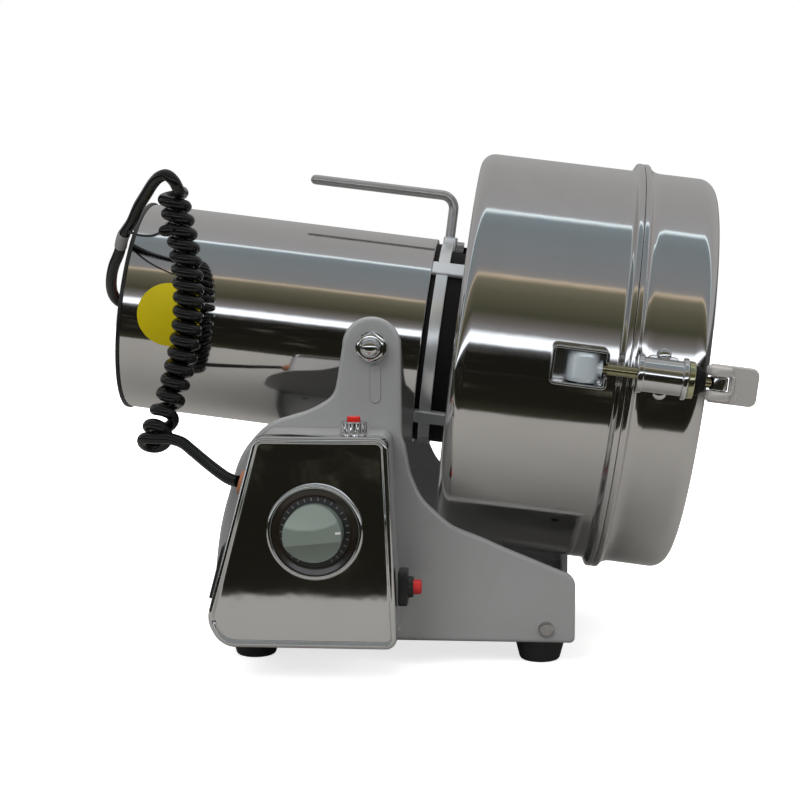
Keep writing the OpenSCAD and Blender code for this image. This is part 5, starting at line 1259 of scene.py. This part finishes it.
def clamp_pieces(side, where):
    """Block, rod, sleeve and washer of one clamp, and the black ring that paints the gap's shade."""
    body, hinge = where + "_clamp", upright(side, HINGE_U)
    sleeve, eye = along_rod(side, SLEEVE_U), upright(side, PIN_U)
    make_piece(where + "_block", [
        spun(BARREL, [0.9, 2, 2, 0.9], hinge, 96), turned(PINS, hinge, 32),
        spun(NECK, [0, 1.4, 0.4, 0.3], along_rod(side, HINGE_U), 48, 4)],
        "satin_chrome", body, where + "_clamp_block", slot="bright_chrome")
    rod = [(HINGE_U + 5, 0), (HINGE_U + 5, ROD_R), (PIN_U, ROD_R), (PIN_U, 0)]
    make_piece(where + "_rod", [turned(rod, along_rod(side), 32)], "olive_zinc", body,
               where + "_clamp_rod", slot="bright_chrome")
    make_piece(where + "_eye", [spun(EYE, [0.6, 0.6], eye, 48, 4),
                                spun(EYE_PIN, [0.5, 0.5], eye, 32, 4)],
               "bright_chrome", body)
    make_piece(where + "_sleeve", [
        spun(SLEEVE, [0.1, 0.9, 0.7, 0.2, 0.2, 0.5, 0.9, 0.1], sleeve, 96)],
        "bright_chrome", body, where + "_clamp_sleeve")
    make_piece(where + "_washer", [spun(WASHER, [0.1, 0.8, 0.9, 0.1], sleeve, 96)],
               "brassy_zinc", body, slot="bright_chrome")
    # The black ring: painted shade of the gap before the lever.
    make_piece(where + "_gap_shade_washer", [
        spun(GAP_SHADE_WASHER, [0.1, 0.4, 0.6, 0.8, 0.4, 0.1], sleeve, 64)],
        "black_gasket_and_gap_shade", body, slot="bright_chrome")


clamp_pieces(-1, "front")
clamp_pieces(1, "rear")

# %% [markdown]
# The lever is a flat tongue with two cam knuckles round the pin, and a notch between them
# for the eye of the rod. A bead of metal runs round the notch. The notch could be cut out;
# as part of the tongue's outline it gets the same round edge as the rest.

# %% Cam levers
TONGUE_BACK, TONGUE_FACE, BEAD_OUT = CLAMP_Y - 1.2, CLAMP_Y + 2.5, CLAMP_Y + 2.7
TONGUE = [(-5.5, -10.5), (21, -10.5), (21, 10.5), (-5.5, 10.5),
          (-5.5, 4.2), (5.4, 4.2), (5.4, -4.2), (-5.5, -4.2)]
NOTCH_BEAD = [(-3.5, 5.4), (7.4, 5.4), (7.4, -5.4), (-3.5, -5.4)]
KNUCKLES, KNUCKLE_R = ((-9.5, -4.0), (4.0, 9.5)), 7.2


def lever_pieces(side, where):
    """Tongue, knuckles and the bead round the notch."""
    skins = plate(cornered(TONGUE, [1.5, 4, 4, 1.5, 0.4, 0.8, 0.8, 0.4]),
                  edged(TONGUE_BACK, TONGUE_FACE, 0.8), on_clamp(side, PIN_U))
    for low, high in KNUCKLES:
        skins.append(spun([(low, 0), (low, KNUCKLE_R), (high, KNUCKLE_R), (high, 0)],
                          [1.6, 1.6], upright(side, PIN_U), 64, 6))
    u, n = rounded(NOTCH_BEAD, [2.4, 2.4], 8).T
    skins.append(tube(on_clamp(side, PIN_U)(u, n, BEAD_OUT), 0.9 * MM, 12))
    make_piece(where + "_tongue", skins, "lever_steel", where + "_lever",
               where + "_cam_lever", slot="bright_chrome")


lever_pieces(-1, "front")
lever_pieces(1, "rear")

# %% [markdown]
# Each sleeve lies on a saddle: a strip bent to the lid's wall, with a block on it, held
# by two rivets whose heads are shallow domes. The strip could be shrink-wrapped on the
# lid. Its place function bends it exactly: a point at n lies at the angle asin(n / R)
# round the head axis.

# %% Saddles and rivets
SADDLE_U, SADDLE_T, SADDLE_HALF = (SEAM + 9.6, SEAM + 26.7), 1.8, 9.8
REST_U, REST_HALF, REST_OUT = (SEAM + 15.6, SADDLE_U[1]), 7, (BOWL_R - 1, 128.6)
RIVET_U, RIVET_AWAY, RIVET_R, RIVET_H = SEAM + 18.15, 10.2, 4.0, 2.2
SADDLE_SUNK, RIVET_SUNK = 0.2, 0.1


def on_lid_wall(side):
    """Places on the lid's wall: along the head axis, n round it, and out of it."""
    def place(u, n, out):
        """The point at the angle asin(n / R), at the radius R plus out."""
        angle = np.arcsin(np.asarray(n) / BOWL_R)
        radius = BOWL_R + np.asarray(out)
        return head_place(u, side * radius * np.cos(angle), radius * np.sin(angle))
    return place


def saddle_skins(side):
    """Strip, block and two rivet heads: r = R cos(t), height = H sin(t)."""
    wall = on_lid_wall(side)
    skins = bar(SADDLE_U, (CLAMP_N - SADDLE_HALF, CLAMP_N + SADDLE_HALF),
                (-SADDLE_SUNK, SADDLE_T), 2.5, 0.5, wall)
    skins += bar(REST_U, (-REST_HALF, REST_HALF), REST_OUT, 1.0, 0.4, on_clamp(side))
    t = np.r_[0, np.linspace(0, np.pi / 2, 10)][:, None]
    angle = full_turn(40)[None]
    r, lift = RIVET_R * np.cos(t), SADDLE_T - RIVET_SUNK + RIVET_H * np.sin(t)
    r[0] = 0
    return skins + [skin(wall(RIVET_U + r * np.cos(angle), n + r * np.sin(angle), lift))
                    for n in (CLAMP_N - RIVET_AWAY, CLAMP_N + RIVET_AWAY)]


make_piece("saddles", saddle_skins(-1) + saddle_skins(1), "bright_chrome", "lid",
           "latch_saddles", slot="bracket_steel")

# %% [markdown]
# ## The disc on the motor
# A yellow disc of film sticks to the motor's shell behind the curls. A flat disc with a
# Shrinkwrap modifier would do, but its place is easily said: a point at distance a along
# the axis and b round it lies at the angle b / R.

# %% Disc on the shell
DISC_U, DISC_ANGLE, DISC_R = -123.3, np.radians(1.2), 18.9
DISC_RINGS = [(0, 0.25), (0.3, 0.25), (0.6, 0.25), (0.85, 0.25), (1, 0.22), (1, -0.1),
              (0, -0.1)]


def disc_skin():
    """Rings of the disc, as (share of its radius, lift), wrapped on the shell."""
    angle = full_turn(96)[None]
    share, lift = np.array(DISC_RINGS).T[..., None]
    a, b = DISC_R * share * np.cos(angle), DISC_R * share * np.sin(angle)
    turn, radius = DISC_ANGLE + b / SHELL_R, SHELL_R + lift
    return skin(head_place(DISC_U + a, -radius * np.cos(turn), radius * np.sin(turn)))


make_piece("shell_disc", [disc_skin()], "yellow_film", "head", slot="polished_steel")

# %% [markdown]
# ## Table and light
# The object stands on a pale table against white. The table's shader is plain for the
# camera, and it thins out for reflections past the table's near edge, because the
# mirror steel in the photograph shows a dark room there. The sky's colour depends on
# height alone, in the bands that the steel shows: grey above, a thin bright line
# overhead, olive and a bright window near the horizon, and black below it. A panorama
# of a real room could light the scene too, but bands can be moved one by one until the
# reflections sit where the photograph has them.

# %% Table
TABLE_EDGE, EDGE_WAVE = (-0.372, -0.360), 0.03
TABLE_FADE, TABLE_HALF = (1.0, 0.7), 3.0
GLOW_AT, GLOW = (0.25, 0.70), (0.72, 1.3)
TABLE_SEEN, TABLE_REFLECTED = shade(0.82), (0.30, 0.29, 0.275, 1)


def reflected_table(tree, ray, place):
    """Share of the table that a ray meets: all of it, but for reflections only what lies
    on this side of a slightly wavy near edge, and not far off. Also the distance from
    the middle of the floor."""
    parts = add(tree, "ShaderNodeSeparateXYZ", _0=place).outputs
    wave = maths(tree, "MULTIPLY", noise(tree, place, 14.0, 3.0), EDGE_WAVE)
    near = ranged(tree, maths(tree, "ADD", parts["Y"], wave),
                  *(edge + EDGE_WAVE / 2 for edge in TABLE_EDGE))
    distance = add(tree, "ShaderNodeVectorMath", {"operation": "LENGTH"},
                   _0=place).outputs["Value"]
    far = ranged(tree, distance, *TABLE_FADE)
    return maths(tree, "MAXIMUM", maths(tree, "SUBTRACT", 1.0, ray["Is Glossy Ray"]),
                 maths(tree, "MULTIPLY", near, far)), distance


def lay_table():
    """A flat grid of points in a square, at the height of the floor."""
    reach = np.linspace(-TABLE_HALF, TABLE_HALF, 13)
    x, y = np.meshgrid(reach, reach)
    points, faces = skin(np.stack([x, y, 0 * x], -1), ring=False)
    mesh = bpy.data.meshes.new("table")
    mesh.from_pydata(points.tolist(), [], faces.tolist())
    material = bpy.data.materials.new("pale table")
    material.use_nodes = True
    tree = material.node_tree
    shader = tree.nodes["Principled BSDF"]
    shader.inputs["Roughness"].default_value = 0.7
    shader.inputs["Specular IOR Level"].default_value = 0.2
    ray = tree.nodes.new("ShaderNodeLightPath").outputs
    place = tree.nodes.new("ShaderNodeTexCoord").outputs["Object"]
    solid, distance = reflected_table(tree, ray, place)
    gone = tree.nodes.new("ShaderNodeBsdfTransparent")
    mix = add(tree, "ShaderNodeMixShader", _0=solid, _1=gone.outputs[0],
              _2=shader.outputs[0])
    seen = blend_colours(tree, ray["Is Camera Ray"], TABLE_REFLECTED, TABLE_SEEN)
    tree.links.new(seen, shader.inputs["Base Color"])
    glow = ranged(tree, distance, *GLOW_AT, *GLOW)
    tree.links.new(maths(tree, "MULTIPLY", ray["Is Camera Ray"], glow),
                   shader.inputs["Emission Strength"])
    shader.inputs["Emission Color"].default_value = (1, 1, 1, 1)
    tree.links.new(mix.outputs[0], tree.nodes["Material Output"].inputs["Surface"])
    mesh.materials.append(material)
    table = bpy.data.objects.new("table", mesh)
    bpy.context.collection.objects.link(table)
    print("table of", len(faces), "faces")


lay_table()

# %% [markdown]
# Each band of the sky has an angle, a brightness, and the shares of red and blue in it.
# Close to the horizon the bands are broken up by a noise over the direction, because a
# polished cover always shows a few soft shapes of the room.

# %% Sky
ROOM_LIGHT, SHAPE_FROM, SHAPE_MOST = (1.0, 0.98, 0.72, 1.0), (0.60, 0.80), 0.20
BELT_DOWN, BELT_EDGE = 0.12, (0.24, 0.14)
SKY_BANDS = [(-180, 0.10, 1, 1), (-125, 0.02, 1, 1), (-60, 0.030, 1.0, 0.7),
             (-44, 0.075, 1.0, 0.62), (-34, 0.050, 1.0, 0.6), (-24, 0.014, 1.05, 0.7),
             (3, 0.010, 1.05, 0.75), (7, 0.10, 1, 1), (8.5, 1.9, 0.94, 1.08),
             (13, 1.9, 0.94, 1.08), (15, 0.32, 1, 1.03), (20, 0.16, 1.1, 0.95),
             (26, 0.070, 1.0, 0.62), (38, 0.125, 1.05, 0.68), (46, 0.20, 1.08, 0.72),
             (47.3, 0.75, 1.25, 0.7), (48.6, 0.30, 1.05, 0.95), (54, 0.27, 0.97, 1.04),
             (80, 0.27, 0.86, 1.06), (89.5, 0.31, 0.84, 1.1), (91, 1.9, 0.86, 1.06),
             (92.5, 0.42, 1.0, 1.04), (108, 0.40, 1.01, 1.0), (150, 0.43, 1.02, 0.99),
             (172, 0.40, 1, 1), (180, 0.10, 1, 1)]


def room_shapes(tree, way, angle):
    """Soft shapes of the room: a noise over the direction, lifted above a threshold, and
    kept to a belt round the horizon."""
    cloud = noise(tree, way, 19.0, 2.0, 0.55, 1.2)
    shape = ranged(tree, cloud, *SHAPE_FROM, 0.0, SHAPE_MOST)
    off_belt = maths(tree, "ABSOLUTE", maths(tree, "ADD", angle, BELT_DOWN))
    return maths(tree, "MULTIPLY", shape, ranged(tree, off_belt, *BELT_EDGE))


def sky():
    """World colour by the angle round the long axis of the object: a ramp over
    atan2(height, towards the camera), white for the camera itself."""
    world = bpy.data.worlds.new("studio")
    bpy.context.scene.world = world
    world.use_nodes = True
    tree = world.node_tree
    way = tree.nodes.new("ShaderNodeTexCoord").outputs["Generated"]
    parts = add(tree, "ShaderNodeSeparateXYZ", _0=way).outputs
    towards = maths(tree, "MULTIPLY", parts["Y"], -1.0)
    angle = maths(tree, "ARCTAN2", parts["Z"], towards)
    share = maths(tree, "ADD", maths(tree, "MULTIPLY", angle, 1 / (2 * np.pi)), 0.5)
    ramp = add(tree, "ShaderNodeValToRGB", Fac=share)
    stops = ramp.color_ramp.elements
    while len(stops) < len(SKY_BANDS):
        stops.new(0.5)
    for stop, (degrees, grey, red, blue) in zip(stops, SKY_BANDS):
        stop.position = degrees / 360 + 0.5
        stop.color = (grey * red, grey, grey * blue, 1.0)
    colour = blend_colours(tree, room_shapes(tree, way, angle), ramp.outputs["Color"],
                           ROOM_LIGHT)
    ray = tree.nodes.new("ShaderNodeLightPath").outputs
    room = add(tree, "ShaderNodeBackground", Color=colour, Strength=1.0)
    white = add(tree, "ShaderNodeBackground", Color=(1, 1, 1, 1), Strength=1.0)
    mix = add(tree, "ShaderNodeMixShader", _0=ray["Is Camera Ray"], _1=room.outputs[0],
              _2=white.outputs[0])
    tree.links.new(mix.outputs[0], tree.nodes["World Output"].inputs["Surface"])


sky()
print("sky bands:", len(SKY_BANDS))

# %% [markdown]
# Three soft lamps light the painted faces and give the shadow under the stand. They show
# in no reflection, because the steel of the photograph shows none of them.

# %% Soft lamps
def soft_lamp(name, place, size, power):
    """A square area lamp that points at the object and shows in no reflection."""
    light = bpy.data.lights.new(name, "AREA")
    light.size = size
    light.energy = power
    lamp = bpy.data.objects.new(name, light)
    lamp.location = place
    lamp.rotation_euler = facing(LOOK_AT - np.array(place))
    lamp.visible_glossy = False
    bpy.context.collection.objects.link(lamp)
    print(name, "lamp of", power, "W")


soft_lamp("window", (-0.6, -1.3, 1.2), 1.0, 16.0)
soft_lamp("overhead", (0.2, 0.2, 1.7), 1.6, 26.0)
soft_lamp("fill", (1.2, -0.8, 0.7), 1.0, 6.0)
